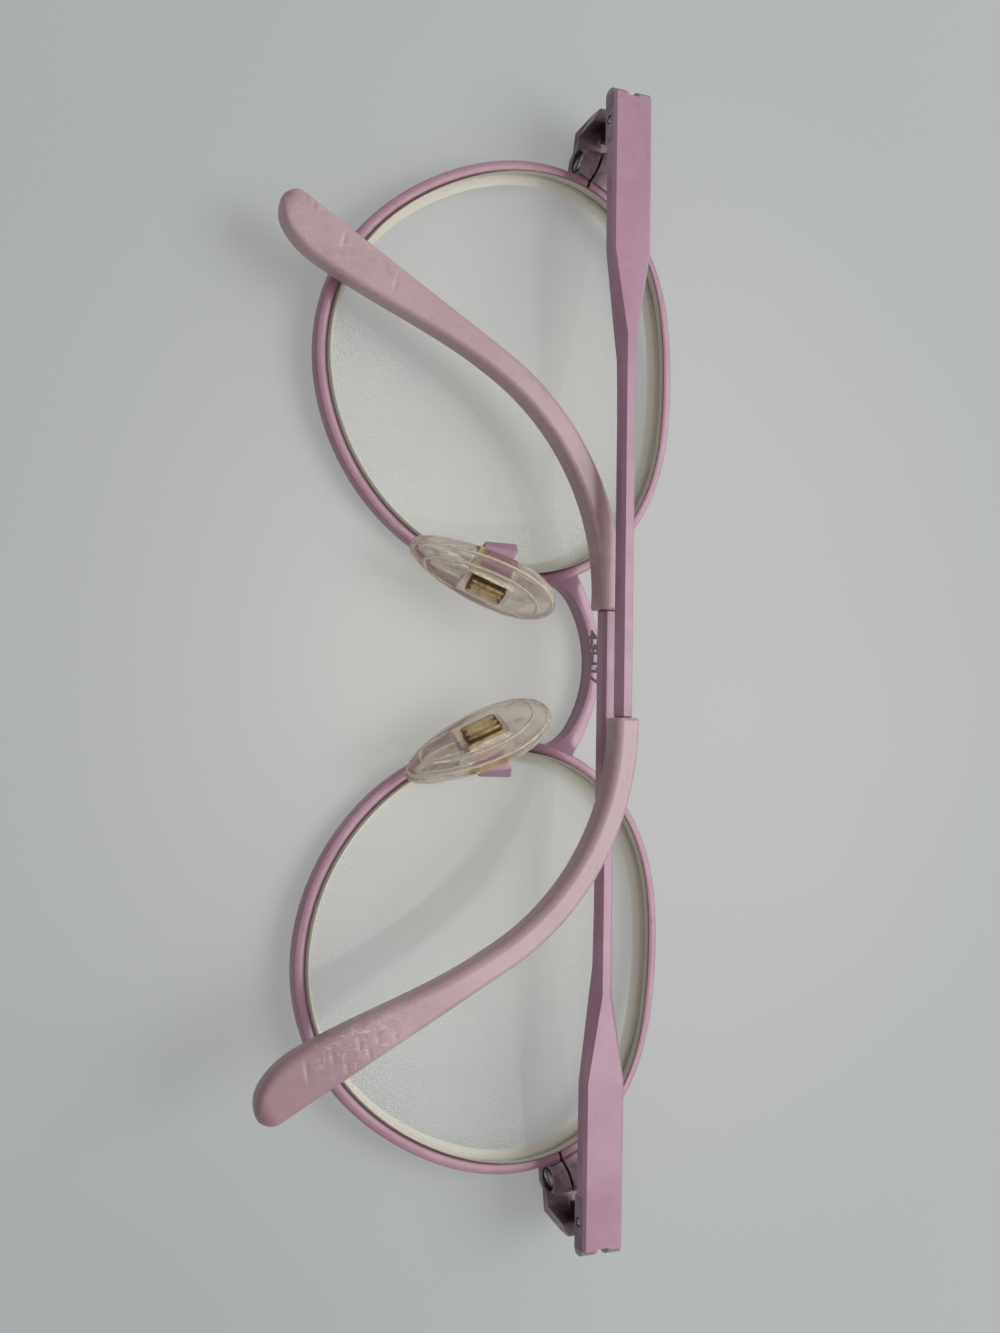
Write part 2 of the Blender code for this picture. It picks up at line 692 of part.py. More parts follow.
def fork_outline():
    """Return the fork's (s, n) outline: a block under the plate, its end rounded."""
    top, under = fork_top(), -FORK_INNER
    return [(-FORK_END, top - 0.0005), (-FORK_END, under + 0.0006),
            (0.0002 - FORK_END, under + 0.0002), (0.0006 - FORK_END, under), (FORK_ROOT, under),
            (FORK_ROOT, top), (0.0005 - FORK_END, top), (0.00015 - FORK_END, top - 0.0001)]


def temple_prism(outline, low, high):
    """Raise an (s, n) outline across the temple, drawn for the right side."""
    return prism([(-s, n) for s, n in outline], low, high)


def add_temple(label, side, root, pin_place, materials):
    """Add one temple on its hinge pin, with its fork, hinge screw and plastic tip."""
    paint, steel = materials["paint"], materials["steel"]
    rest, bend = (RIGHT_REST, RIGHT_BEND) if side > 0 else (-LEFT_REST, LEFT_BEND)
    axis = add_empty(f"hinge_axis_{label}",
                     Matrix.Translation(pin_place) @ Matrix.Rotation(rest, 4, "Y"), root)
    temple = add_solid(f"temple_{label}", temple_solid(bend), side, axis, paint)
    add_solid(f"temple_tip_{label}", tip_solid(bend), side, axis, materials["tip"], 50.0)

    half_slot = TONGUE_THICK / 2 + HINGE_GAP
    half = PLATE_HEIGHT / 2
    beyond = 2 * half
    seat = temple_prism([(-beyond, -beyond), (FORK_ROOT + BRAZE_GAP, -beyond),
                         (FORK_ROOT + BRAZE_GAP, PIN_TO_FACE - FORK_SKIN),
                         (-beyond, PIN_TO_FACE - FORK_SKIN)], -beyond, beyond)
    seat_tool = add_solid(f"guide_fork_seat_{label}", seat, side, axis, paint)
    apply_boolean(temple, seat_tool, "DIFFERENCE")
    notch = temple_prism([(-beyond, -beyond), (0.0004 - PLATE_END, -beyond),
                          (0.0004 - PLATE_END, beyond), (-beyond, beyond)],
                         -half_slot, half_slot)
    notch_tool = add_solid(f"guide_plate_notch_{label}", notch, side, axis, paint)
    apply_boolean(temple, notch_tool, "DIFFERENCE")

    half_fork = FORK_HEIGHT / 2
    fork = add_solid(f"hinge_fork_{label}", temple_prism(fork_outline(), -half_fork, half_fork),
                     side, axis, paint)
    slot = temple_prism([(-beyond, -beyond), (FORK_SLOT_END, -beyond), (FORK_SLOT_END, beyond),
                         (-beyond, beyond)], -half_slot, half_slot)
    slot_tool = add_solid(f"guide_fork_slot_{label}", slot, side, axis, paint)
    hole = PIN_RADIUS + PIN_GAP
    sink = half_fork - PIN_HEAD_HIGH - PIN_GAP
    step = turned([(hole, -beyond), (hole, sink), (PIN_HEAD_RADIUS + PIN_GAP, sink),
                   (PIN_HEAD_RADIUS + PIN_GAP, beyond)])
    hole_tool = add_solid(f"guide_fork_hole_{label}", step, side, axis, steel)
    apply_boolean(fork, slot_tool, "DIFFERENCE")
    apply_boolean(fork, hole_tool, "DIFFERENCE")

    flip = Matrix.Translation((0.0, half_fork, 0.0)) @ Matrix.Rotation(math.pi, 4, "Z")
    sizes = (PIN_HEAD_RADIUS, PIN_HEAD_HIGH, PIN_RADIUS, FORK_HEIGHT - PIN_HEAD_HIGH - PIN_GAP)
    add_screw(f"hinge_screw_{label}", flip, sizes, side, axis, steel)


def pad_turn(lean):
    """Return the pad's directions, drawn for the right side: width, length and outer face."""
    length = Vector((math.sin(lean), math.cos(lean) * math.cos(PAD_RISE),
                     math.cos(lean) * math.sin(PAD_RISE))).normalized()
    facing = Vector((-math.cos(PAD_SPLAY), 0.0, math.sin(PAD_SPLAY)))
    facing = (facing - length * facing.dot(length)).normalized()
    width = length.cross(facing)
    return Matrix((width, length, facing)).transposed()


def mirrored(matrix, side):
    """Return a matrix for a side, mirrored across the middle plane for the left."""
    flip = Matrix.Diagonal((side, 1, 1, 1))
    return flip @ matrix @ flip


def pad_ring(scale, height, steps=24):
    """Return the pad's egg outline at a height, wider at its upper end."""
    ring = []
    for i in range(steps):
        angle = 2 * math.pi * i / steps
        along = PAD_LENGTH / 2 * math.sin(angle)
        across = PAD_WIDTH / 2 * math.cos(angle) * (1 + PAD_EGG * math.sin(angle))
        shrink = PAD_WIDTH / 2 * (1 - scale)
        along *= 1 - shrink / (PAD_LENGTH / 2)
        ring.append((across * scale, along, height))
    return ring


def pad_solid():
    """Loft the soft pad from its flat back to its domed face."""
    levels = ((0.80, -1.0), (0.95, -0.85), (1.0, -0.35), (0.97, 0.15), (0.86, 0.55),
              (0.62, 0.85), (0.30, 0.98))
    rings = []
    for scale, share in levels:
        height = share * (PAD_FRONT if share > 0 else PAD_BACK)
        rings.append(pad_ring(scale, height))
    return loft(rings)


INSERT_REACH = BOX_LENGTH / 2 - BOX_WALL - SEAT_GAP


def insert_top():
    """Return the height of the insert's root inside the pad, from the pad's screw."""
    return BOX_DEPTH / 2 + PAD_POCKET_RISE + INSERT_ROOT


def pad_pocket():
    """Return the pad's pocket for the box, and the deeper slot for the insert."""
    clear = PAD_POCKET_CLEAR
    half_l, half_w = BOX_LENGTH / 2, BOX_WIDTH / 2
    floor = BOX_DEPTH / 2 + PAD_POCKET_RISE
    behind = -2 * BOX_DEPTH
    pocket = slab((-half_w - clear, -half_l - PAD_SCREW_HEAD_HIGH - clear, behind),
                  (half_w + clear, half_l + clear, floor))
    slot = slab((-INSERT_WIDTH / 2 - SEAT_GAP, -INSERT_REACH - SEAT_GAP, 0.0),
                (INSERT_WIDTH / 2 + SEAT_GAP, INSERT_REACH + SEAT_GAP, insert_top() + SEAT_GAP))
    return pocket, slot


def arm_stations(box_back, turn):
    """Return the pad arm's stations, rim to box: middle, normal, across and half width."""
    rim_u = LENS_DISTANCE / 2
    foot = RIM_DEPTH + SEAT_GAP
    y = box_back.y + ARM_LIFT
    wide, narrow = ARM_WIDTH / 2, ARM_FOOT_WIDTH / 2
    up = Vector((0.0, 1.0, 0.0))
    box_width, box_length, facing = turn.col
    end = box_back - facing * SEAT_GAP

    def place(bend, lower=0.0):
        return Vector((rim_u + bend[0], y - lower, foot + bend[1]))

    return [
        (place((ARM_SEAT_IN, 0.0)), Vector((1.0, 0.0, 0.0)), up, narrow),
        (place(ARM_FOOT), Vector((0.9, 0.0, -0.4)), up, narrow),
        (place(ARM_KNEE), Vector((0.5, 0.0, -0.8)), up, 0.9 * wide),
        (place(ARM_SHIN), Vector((0.8, 0.0, -0.5)), up, wide),
        (place(ARM_HIP), Vector((1.0, 0.0, 0.2)), up, wide),
        (place(ARM_CREST, ARM_LIFT / 4), Vector((0.5, 0.0, 0.9)), up + box_length * 0.4, wide),
        (end, box_width, box_length, 0.75 * wide),
    ]


def arm_solid(stations):
    """Loft the flat pad arm through its stations, with trimmed corners."""
    rings = []
    for middle, normal, across, half in stations:
        across = across.normalized()
        normal = (normal - across * normal.dot(across)).normalized()
        thick, trim = ARM_THICK / 2, ARM_THICK * 0.22
        section = [(half, thick - trim), (half - trim, thick), (trim - half, thick),
                   (-half, thick - trim), (-half, trim - thick), (trim - half, -thick),
                   (half - trim, -thick), (half, trim - thick)]
        rings.append([middle + across * a + normal * b for a, b in reversed(section)])
    return loft(rings)


def add_pad(label, side, root, materials):
    """Add one pad arm with its brass box, and the soft pad that rocks on the box's screw."""
    brass = materials["brass"]
    rock = RIGHT_PAD_ROCK if side > 0 else LEFT_PAD_ROCK
    turn = pad_turn(RIGHT_PAD_LEAN if side > 0 else LEFT_PAD_LEAN)
    box_length, facing = turn.col[1], turn.col[2]
    centre = Vector(PAD_CENTRE) + Vector((RIGHT_PAD_OUT if side > 0 else 0.0, 0.0, 0.0))
    pivot = centre - facing * PAD_AXIS_BACK + box_length * PAD_AXIS_UP
    place = mirrored(Matrix.Translation(pivot) @ turn.to_4x4(), side)
    mount = add_empty(f"pad_mount_{label}", place, root)
    axis = add_empty(f"pad_axis_{label}", Matrix.Rotation(side * rock, 4, "Y"), mount)
    shift = Matrix.Translation((0.0, -PAD_AXIS_UP, PAD_AXIS_BACK))

    pad = add_solid(f"nose_pad_{label}", moved(pad_solid(), shift), side, axis,
                    materials["pad"], 60.0)
    for index, hollow in enumerate(pad_pocket()):
        tool = add_solid(f"guide_pad_{index}_{label}", hollow, side, axis, materials["pad"])
        apply_boolean(pad, tool, "DIFFERENCE")

    half_l, half_w, half_d = BOX_LENGTH / 2, BOX_WIDTH / 2, BOX_DEPTH / 2
    box = add_solid(f"pad_box_{label}", slab((-half_w, -half_l, -half_d),
                                             (half_w, half_l, half_d)), side, mount, brass)
    room = slab((-half_w + BOX_WALL * 0.6, -half_l + BOX_WALL, -half_d + BOX_FLOOR),
                (half_w - BOX_WALL * 0.6, half_l - BOX_WALL, 2 * half_d))
    room_tool = add_solid(f"guide_box_room_{label}", room, side, mount, brass)
    bore_radius = PAD_SCREW_RADIUS + PIN_GAP
    bore = turned([(bore_radius, -BOX_LENGTH), (bore_radius, BOX_LENGTH)])
    bore_tool = add_solid(f"guide_box_bore_{label}", bore, side, mount, brass)
    apply_boolean(box, room_tool, "DIFFERENCE")
    apply_boolean(box, bore_tool, "DIFFERENCE")

    insert = slab((-INSERT_WIDTH / 2, -INSERT_REACH, -INSERT_WIDTH / 2 - 0.0001),
                  (INSERT_WIDTH / 2, INSERT_REACH, insert_top()))
    insert = add_solid(f"pad_insert_{label}", insert, side, axis, brass)
    apply_boolean(insert, bore_tool, "DIFFERENCE")

    head = Matrix.Translation((0.0, -half_l - PAD_SCREW_HEAD_HIGH - BRAZE_GAP, 0.0))
    sizes = (PAD_SCREW_HEAD, PAD_SCREW_HEAD_HIGH, PAD_SCREW_RADIUS, BOX_LENGTH)
    add_screw(f"pad_screw_{label}", head, sizes, side, mount, materials["steel"])

    stations = arm_stations(pivot - facing * half_d, turn)
    add_solid(f"pad_arm_{label}", arm_solid(stations), side, root, materials["paint"], 60.0)


def stand_on_origin(root):
    """Move the whole frame so that the origin lies under its middle, on the surface."""
    bpy.context.view_layer.update()
    shown = bpy.context.evaluated_depsgraph_get()
    low = Vector((math.inf,) * 3)
    high = Vector((-math.inf,) * 3)
    for item in bpy.data.objects:
        if item.type != "MESH" or item.hide_render:
            continue
        ready = item.evaluated_get(shown)
        for vertex in ready.data.vertices:
            point = ready.matrix_world @ vertex.co
            low = Vector(map(min, low, point))
            high = Vector(map(max, high, point))
    root.location -= Vector(((low.x + high.x) / 2, (low.y + high.y) / 2, low.z))
    bpy.context.view_layer.update()


def main():
    """Build the eyeglass frame."""
    for item in list(bpy.data.objects):
        bpy.data.objects.remove(item, do_unlink=True)
    materials = make_materials()
    root = add_empty("frame_datum", Matrix.Identity(4), None)
    bridge = add_solid("bridge", bridge_solid(), 1, root, materials["paint"])
    for label, side in SIDES:
        place, envelope = add_front_side(label, side, root, materials["paint"],
                                         materials["steel"], materials["lens"])
        apply_boolean(bridge, envelope, "DIFFERENCE")
        pin = place @ Vector((side * PIN_OUT, HINGE_HEIGHT, PIN_BACK))
        add_temple(label, side, root, pin, materials)
        add_pad(label, side, root, materials)
    stand_on_origin(root)


main()
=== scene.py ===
"""Looks of the folded eyeglass frame: finishes, finer lenses, bridge, tips and pads, and the set.

Metres, in the frame's own directions: +X to the wearer's right, +Y to the brow, +Z up.
"""
import json
import math

import bpy
from mathutils import Matrix, Vector


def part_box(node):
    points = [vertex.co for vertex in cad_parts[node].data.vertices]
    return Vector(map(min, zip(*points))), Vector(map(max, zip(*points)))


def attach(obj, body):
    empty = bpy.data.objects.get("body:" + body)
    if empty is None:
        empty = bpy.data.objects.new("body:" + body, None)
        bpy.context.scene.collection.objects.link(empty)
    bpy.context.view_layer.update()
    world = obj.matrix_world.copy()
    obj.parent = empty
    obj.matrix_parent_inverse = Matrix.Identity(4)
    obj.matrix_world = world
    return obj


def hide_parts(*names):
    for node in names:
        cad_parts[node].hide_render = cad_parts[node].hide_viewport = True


MM = 0.001

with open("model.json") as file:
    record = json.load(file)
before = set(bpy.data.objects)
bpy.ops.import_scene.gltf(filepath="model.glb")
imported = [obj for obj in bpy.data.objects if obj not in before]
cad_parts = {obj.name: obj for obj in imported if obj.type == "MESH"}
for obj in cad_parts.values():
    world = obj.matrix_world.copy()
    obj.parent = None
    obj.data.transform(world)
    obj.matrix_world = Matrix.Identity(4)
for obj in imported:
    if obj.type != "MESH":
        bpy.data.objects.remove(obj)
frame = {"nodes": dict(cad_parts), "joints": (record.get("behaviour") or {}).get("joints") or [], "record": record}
NODES = frame["nodes"]
JOINTS = {joint["name"]: joint for joint in frame["joints"]}
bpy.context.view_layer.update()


def srgb(red, green, blue):
    """Return a linear colour from 0-255 display values."""
    def linear(value):
        value /= 255
        return value / 12.92 if value <= 0.04045 else ((value + 0.055) / 1.055) ** 2.4
    return (linear(red), linear(green), linear(blue), 1.0)


class Nodes:
    """A node tree whose nodes are added and linked by short calls."""

    def __init__(self, tree, place):
        self.tree = tree
        self.place = self.node("TexCoord").outputs[place]

    def node(self, kind, **settings):
        """Add a node; settings are its own properties."""
        item = self.tree.nodes.new("ShaderNode" + kind)
        for key, value in settings.items():
            setattr(item, key, value)
        return item

    def put(self, item, socket, value):
        """Link an output to a socket, or set the socket's value."""
        target = item.inputs[socket]
        if isinstance(value, bpy.types.NodeSocket):
            self.tree.links.new(value, target)
        else:
            target.default_value = value

    def where(self, stretch, turn):
        """Return the object's own coordinates, in metres, stretched and turned about Z."""
        mapping = self.node("Mapping")
        self.put(mapping, "Vector", self.place)
        self.put(mapping, "Rotation", (0.0, 0.0, turn))
        self.put(mapping, "Scale", stretch)
        return mapping.outputs["Vector"]

    def noise(self, size, detail=3.0, rough=0.5, at=None):
        """Return noise between 0 and 1 whose patches are about size metres across."""
        item = self.node("TexNoise")
        self.put(item, "Vector", at or self.place)
        self.put(item, "Scale", 1 / size)
        self.put(item, "Detail", detail)
        self.put(item, "Roughness", rough)
        return item.outputs["Fac"]

    def ramp(self, value, low, high, start=0.0, end=1.0, smooth=True):
        """Return a value remapped from low..high to start..end, clamped."""
        item = self.node("MapRange", clamp=True)
        item.interpolation_type = "SMOOTHSTEP" if smooth else "LINEAR"
        self.put(item, "Value", value)
        for socket, number in (("From Min", low), ("From Max", high), ("To Min", start),
                               ("To Max", end)):
            self.put(item, socket, number)
        return item.outputs["Result"]

    def calc(self, operation, a, b):
        """Return two values joined by an operation, such as ADD or MAXIMUM."""
        item = self.node("Math", operation=operation)
        self.put(item, 0, a)
        self.put(item, 1, b)
        return item.outputs[0]

    def mix(self, share, a, b):
        """Return a colour between a and b."""
        item = self.node("Mix", data_type="RGBA")
        self.put(item, "Factor", share)
        self.put(item, 6, a)
        self.put(item, 7, b)
        return item.outputs[2]

    def part(self, axis):
        """Return one coordinate of the object's own place."""
        item = self.node("SeparateXYZ")
        self.put(item, 0, self.place)
        return item.outputs[axis]

    def cover(self, output, share, a, b):
        """Send a mix of two shader nodes to an output node."""
        item = self.node("MixShader")
        self.put(item, "Fac", share)
        self.put(item, 1, a.outputs[0])
        self.put(item, 2, b.outputs[0])
        self.put(output, "Surface", item.outputs[0])

    def edges(self, radius, low, high):
        """Return 1 on outer edges, whose surface turns within a radius."""
        bevel = self.node("Bevel", samples=4)
        self.put(bevel, "Radius", radius)
        geometry = self.node("NewGeometry")
        dot = self.node("VectorMath", operation="DOT_PRODUCT")
        self.put(dot, 0, bevel.outputs[0])
        self.put(dot, 1, geometry.outputs["Normal"])
        return self.ramp(self.calc("SUBTRACT", 1.0, dot.outputs["Value"]), low, high)

    def corner(self, reach, low, high, most=1.0, alone=False):
        """Return how deep a place lies in a corner, from most down to 0 in the open."""
        item = self.node("AmbientOcclusion", samples=6, only_local=alone)
        self.put(item, "Distance", reach)
        return self.ramp(item.outputs["AO"], low, high, most, 0.0)

    def near(self, point, inner, outer):
        """Return 1 within inner metres of a point, falling to 0 at outer."""
        item = self.node("VectorMath", operation="DISTANCE")
        self.put(item, 0, self.place)
        self.put(item, 1, point)
        return self.ramp(item.outputs["Value"], inner, outer, 1.0, 0.0)


class Finish(Nodes):
    """A material and its main shader."""

    def __init__(self, name, colour, roughness, **fixed):
        self.material = bpy.data.materials.new(name)
        self.material.use_nodes = True
        super().__init__(self.material.node_tree, "Object")
        self.shader = self.tree.nodes["Principled BSDF"]
        self.shade("Base Color", colour)
        self.shade("Roughness", roughness)
        for key, value in fixed.items():
            self.shade(key.replace("_", " "), value)

    def shade(self, socket, value):
        """Link an output to one of the shader's own sockets, or set its value."""
        self.put(self.shader, socket, value)

    def bump(self, height, depth, strength):
        """Send a height between 0 and 1, worth depth metres, to the shader's normal."""
        item = self.node("Bump")
        self.put(item, "Height", height)
        self.put(item, "Distance", depth)
        self.put(item, "Strength", strength)
        self.shade("Normal", item.outputs["Normal"])


SIDES = (("right", 1), ("left", -1))
PINS = {label: Vector(JOINTS[f"{label}_hinge"]["pos_m"]) for label, _ in SIDES}
# From the outer lower corner of a closing screw's box to the dark spot at its head, painted grime and shade:
# inwards, and up in Y.
HEAD_IN = 0.95 * MM
HEAD_UP = 0.55 * MM
# From a hinge pin to the dark spot in the corner between elbow and plate, painted grime and shade.
ELBOW_GRIME_AND_SHADE = Vector((0.0, -1.0, -3.8)) * MM
# How far outwards of a hinge pin the lacquer starts to be worn, and is worn off.
WORN_FROM = 2.55 * MM
WORN_FULL = 2.75 * MM


def add_grime_and_shade_spots(made, grime):
    """Return grime with dark spots added at the closing screws and the hinges' elbows: partly grime, partly
    painted shade.
    """
    for label, side in SIDES:
        low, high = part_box(f"closing_screw_{label}")
        head = Vector((low.x if side < 0 else high.x, low.y, (low.z + high.z) / 2))
        head += Vector((-side * HEAD_IN, HEAD_UP, 0.0))
        grime = made.calc("MAXIMUM", grime, made.near(head, 1.25 * MM, 1.55 * MM))
        elbow = PINS[label] + ELBOW_GRIME_AND_SHADE
        grime = made.calc("MAXIMUM", grime, made.near(elbow, 0.7 * MM, 2.2 * MM))
    return grime


def bare_metal(made):
    """Return where the lacquer is gone: at the worn hinge ends and in chips along the edges."""
    ends = [made.ramp(made.part("X"), PINS[label].x + side * WORN_FROM,
                      PINS[label].x + side * WORN_FULL) for label, side in SIDES]
    broken = made.ramp(made.noise(0.6 * MM, 4.0, 0.7), 0.30, 0.42)
    worn = made.calc("MULTIPLY", made.calc("MAXIMUM", *ends), broken)
    chips = made.ramp(made.noise(0.5 * MM, 4.0, 0.6), 0.66, 0.70)
    chips = made.calc("MULTIPLY", chips, made.edges(0.25 * MM, 0.02, 0.12))
    return made.calc("MAXIMUM", made.calc("MULTIPLY", worn, 0.9),
                     made.calc("MULTIPLY", chips, 0.6))


def make_paint(name, tone, pale, dull, grime_from, gap=(0.4 * MM, 0.5), with_shade_and_grime_spots=False):
    """Pink lacquer on metal: fine orange peel, faint pearl, dull spots and worn ends, and painted shade in its
    corners.
    """
    made = Finish(name, tone, 0.36, Metallic=0.05, Coat_Weight=0.3, Coat_Roughness=0.12,
                  Specular_IOR_Level=0.4)
    cloud = made.ramp(made.noise(6 * MM, 4.0), 0.35, 0.65)
    fleck = made.ramp(made.noise(0.12 * MM, 2.0), 0.56, 0.75, 0.0, 0.25)
    light = made.mix(fleck, made.mix(cloud, tone, pale), pale)
    grime = made.ramp(made.noise(1.3 * MM, 5.0, 0.65), grime_from, grime_from + 0.16, 0.0, 0.4)
    # Painted shade: darkening in corners and recesses, by occlusion, joins the grime.
    reach, deepest = gap
    grime = made.calc("MAXIMUM", grime, made.corner(reach, 0.25, 0.8, deepest))
    # Dark spots at the screws and elbows: painted grime and shade.
    if with_shade_and_grime_spots:
        grime = add_grime_and_shade_spots(made, grime)
    bare = bare_metal(made)
    # The dull colour takes grime and painted shade alike.
    light = made.mix(grime, light, dull)
    made.shade("Base Color", made.mix(bare, light, srgb(150, 146, 146)))
    made.shade("Metallic", made.ramp(bare, 0.0, 1.0, 0.05, 0.85, smooth=False))
    made.shade("Roughness", made.ramp(made.noise(2.5 * MM, 4.0, 0.6), 0.3, 0.7, 0.34, 0.46))
    peel = made.calc("ADD", made.noise(0.35 * MM, 2.0), made.calc("MULTIPLY", bare, -0.8))
    made.bump(peel, 0.008 * MM, 0.5)
    return made.material


def make_steel():
    """Turned screws: a dull film in patches, over fine tool marks."""
    made = Finish("screw_steel", srgb(176, 168, 170), 0.34, Metallic=1.0)
    film = made.ramp(made.noise(0.6 * MM, 4.0, 0.65), 0.4, 0.65)
    made.shade("Base Color", made.mix(film, srgb(182, 176, 178), srgb(120, 104, 108)))
    made.shade("Roughness", made.ramp(film, 0.0, 1.0, 0.26, 0.50))
    made.bump(made.noise(0.08 * MM, 2.0), 0.004 * MM, 0.5)
    return made.material


def make_brass(name, bright, dark):
    """Gold-coloured brass, bright on its faces and tarnished in its corners."""
    made = Finish(name, bright, 0.24, Metallic=1.0)
    tarnish = made.ramp(made.noise(1.1 * MM, 4.0, 0.55), 0.45, 0.70, 0.0, 0.6)
    tarnish = made.calc("MAXIMUM", tarnish, made.corner(0.3 * MM, 0.2, 0.7, 0.9, alone=True))
    made.shade("Base Color", made.mix(tarnish, bright, dark))
    made.shade("Roughness", made.ramp(tarnish, 0.0, 1.0, 0.18, 0.42))
    made.bump(made.noise(0.15 * MM, 3.0), 0.006 * MM, 0.6)
    return made.material


# The tips' worn places: the left one's scraped paddle and darker end, partly grime and partly painted shade, and
# the right one's paddle.
LEFT_SCRAPE = Vector((34.0, -14.5, 12.0)) * MM
LEFT_END = Vector((40.0, -20.0, 12.0)) * MM
RIGHT_SCRAPE = Vector((-38.0, -17.0, 7.0)) * MM


def make_tip():
    """Satin pink plastic, with pale scratches and scuffs near the ends."""
    made = Finish("tip_plastic", srgb(178, 146, 149), 0.40, Subsurface_Weight=0.10,
                  Subsurface_Scale=0.5 * MM, Coat_Weight=0.35, Coat_Roughness=0.16)
    made.shader.inputs["Subsurface Radius"].default_value = (1.0, 0.6, 0.55)
    cloud = made.ramp(made.noise(9 * MM, 4.0), 0.35, 0.65)
    tone = made.mix(cloud, srgb(173, 141, 145), srgb(181, 150, 151))
    grime = made.ramp(made.noise(1.6 * MM, 5.0, 0.7), 0.52, 0.72, 0.0, 0.4)
    tone = made.mix(grime, tone, srgb(146, 113, 118))
    left = made.near(LEFT_SCRAPE, 1.5 * MM, 7.5 * MM)
    left_end = made.near(LEFT_END, 3 * MM, 12 * MM)
    right = made.near(RIGHT_SCRAPE, 2 * MM, 12 * MM)
    zone = made.calc("MAXIMUM", left, made.calc("MULTIPLY", right, 0.45))
    scratch = made.noise(1 * MM, 4.0, 0.7, made.where((2.4, 0.7, 2.0), 0.5))
    scrape = made.noise(1 * MM, 3.0, 0.6, made.where((0.7, 3.5, 2.0), -0.3))
    marks = made.calc("MAXIMUM", made.ramp(scratch, 0.57, 0.63), made.ramp(scrape, 0.62, 0.68))
    marks = made.calc("MULTIPLY", marks, zone)
    # Darker towards the left tip's end: painted grime and shade.
    tone = made.mix(made.calc("MULTIPLY", left_end, 0.8), tone, srgb(150, 115, 119))
    tone = made.mix(made.calc("MULTIPLY", marks, 0.6), tone, srgb(214, 192, 190))
    made.shade("Base Color", tone)
    made.shade("Roughness", made.ramp(marks, 0.0, 1.0, 0.40, 0.62))
    scuffs = made.noise(1 * MM, 4.0, 0.65, made.where((1.3, 0.5, 1.0), 0.7))
    scuffs = made.calc("MULTIPLY", made.ramp(scuffs, 0.42, 0.62), made.calc("MULTIPLY", left, 1.6))
    relief = made.calc("ADD", made.calc("MULTIPLY", marks, -0.8),
                       made.calc("MULTIPLY", made.noise(3 * MM, 3.0), 0.5))
    made.bump(made.calc("ADD", relief, scuffs), 0.04 * MM, 0.8)
    return made.material


def make_lens():
    """Clear polished plastic with faint smears."""
    made = Finish("lens_plastic", srgb(246, 245, 234), 0.02, Transmission_Weight=1.0, IOR=1.5,
                  Alpha=0.14, Specular_IOR_Level=0.15)
    smear = made.ramp(made.noise(5 * MM, 4.0, 0.7), 0.45, 0.75)
    made.shade("Base Color", made.mix(smear, srgb(247, 246, 234), srgb(228, 226, 214)))
    return made.material


def make_ground_edge():
    """The lens's ground edge and bevel: cream and frosted, with fine grinding lines, and painted shade by the rim.
    """
    made = Finish("ground_edge", srgb(222, 216, 198), 0.6, Alpha=0.82)
    lines = made.noise(0.12 * MM, 3.0)
    tone = made.mix(made.ramp(lines, 0.35, 0.7), srgb(220, 214, 196), srgb(232, 227, 212))
    # Dark maroon in the corner by the rim, stronger on the brow side: painted shade and painted reflection of the
    # rim's groove.
    brow = made.ramp(made.part("Y"), -4 * MM, 6 * MM, 0.35, 1.0)
    groove = made.calc("MULTIPLY", made.corner(0.55 * MM, 0.55, 0.92), brow)
    tone = made.mix(groove, tone, srgb(96, 48, 54))
    made.shade("Base Color", tone)
    made.bump(lines, 0.01 * MM, 0.6)
    return made.material


def make_silicone():
    """Clear soft silicone, faintly beige and smeared."""
    made = Finish("clear_silicone", srgb(238, 226, 214), 0.05, Transmission_Weight=1.0, IOR=1.38,
                  Alpha=0.72)
    haze = made.ramp(made.noise(1.8 * MM, 4.0, 0.6), 0.45, 0.75)
    made.shade("Base Color", made.mix(haze, srgb(246, 236, 222), srgb(234, 220, 202)))
    made.shade("Roughness", made.ramp(haze, 0.0, 1.0, 0.04, 0.16))
    made.bump(made.noise(0.6 * MM, 2.0), 0.006 * MM, 0.4)
    return made.material


def make_milky_ribs():
    """Milky ribs moulded inside a pad."""
    made = Finish("milky_ribs", srgb(238, 230, 212), 0.3, Alpha=0.9)
    haze = made.ramp(made.noise(0.5 * MM, 3.0), 0.4, 0.7)
    made.shade("Base Color", made.mix(haze, srgb(244, 238, 222), srgb(222, 210, 188)))
    made.shade("Roughness", made.ramp(haze, 0.0, 1.0, 0.2, 0.45))
    return made.material


def make_ink():
    """Dark printed ink, slightly worn."""
    made = Finish("dark_ink", srgb(34, 14, 24), 0.5)
    thin = made.ramp(made.noise(0.2 * MM, 3.0), 0.5, 0.75, 0.0, 0.25)
    made.shade("Base Color", made.mix(thin, srgb(34, 14, 24), srgb(80, 52, 64)))
    return made.material


PAINT = make_paint("pink_lacquer", srgb(162, 120, 140), srgb(170, 130, 149),
                   srgb(104, 70, 82), 0.60)
# The rims' lacquer: deeper, darker painted shade in its corners and the groove by the lens.
RIM_PAINT = make_paint("rim_lacquer", srgb(158, 114, 131), srgb(166, 124, 141),
                       srgb(84, 44, 54), 0.60, gap=(0.7 * MM, 0.95))
# Darker lacquer for the hinge parts: partly grime, partly painted shade of parts turned from the light.
DIRTY_SHADED_PAINT = make_paint("dirty_shaded_lacquer", srgb(124, 99, 109), srgb(146, 122, 132),
                       srgb(42, 24, 32), 0.46, gap=(0.6 * MM, 0.95), with_shade_and_grime_spots=True)
STEEL = make_steel()
BRASS = make_brass("gold_plate", srgb(240, 218, 164), srgb(104, 80, 40))
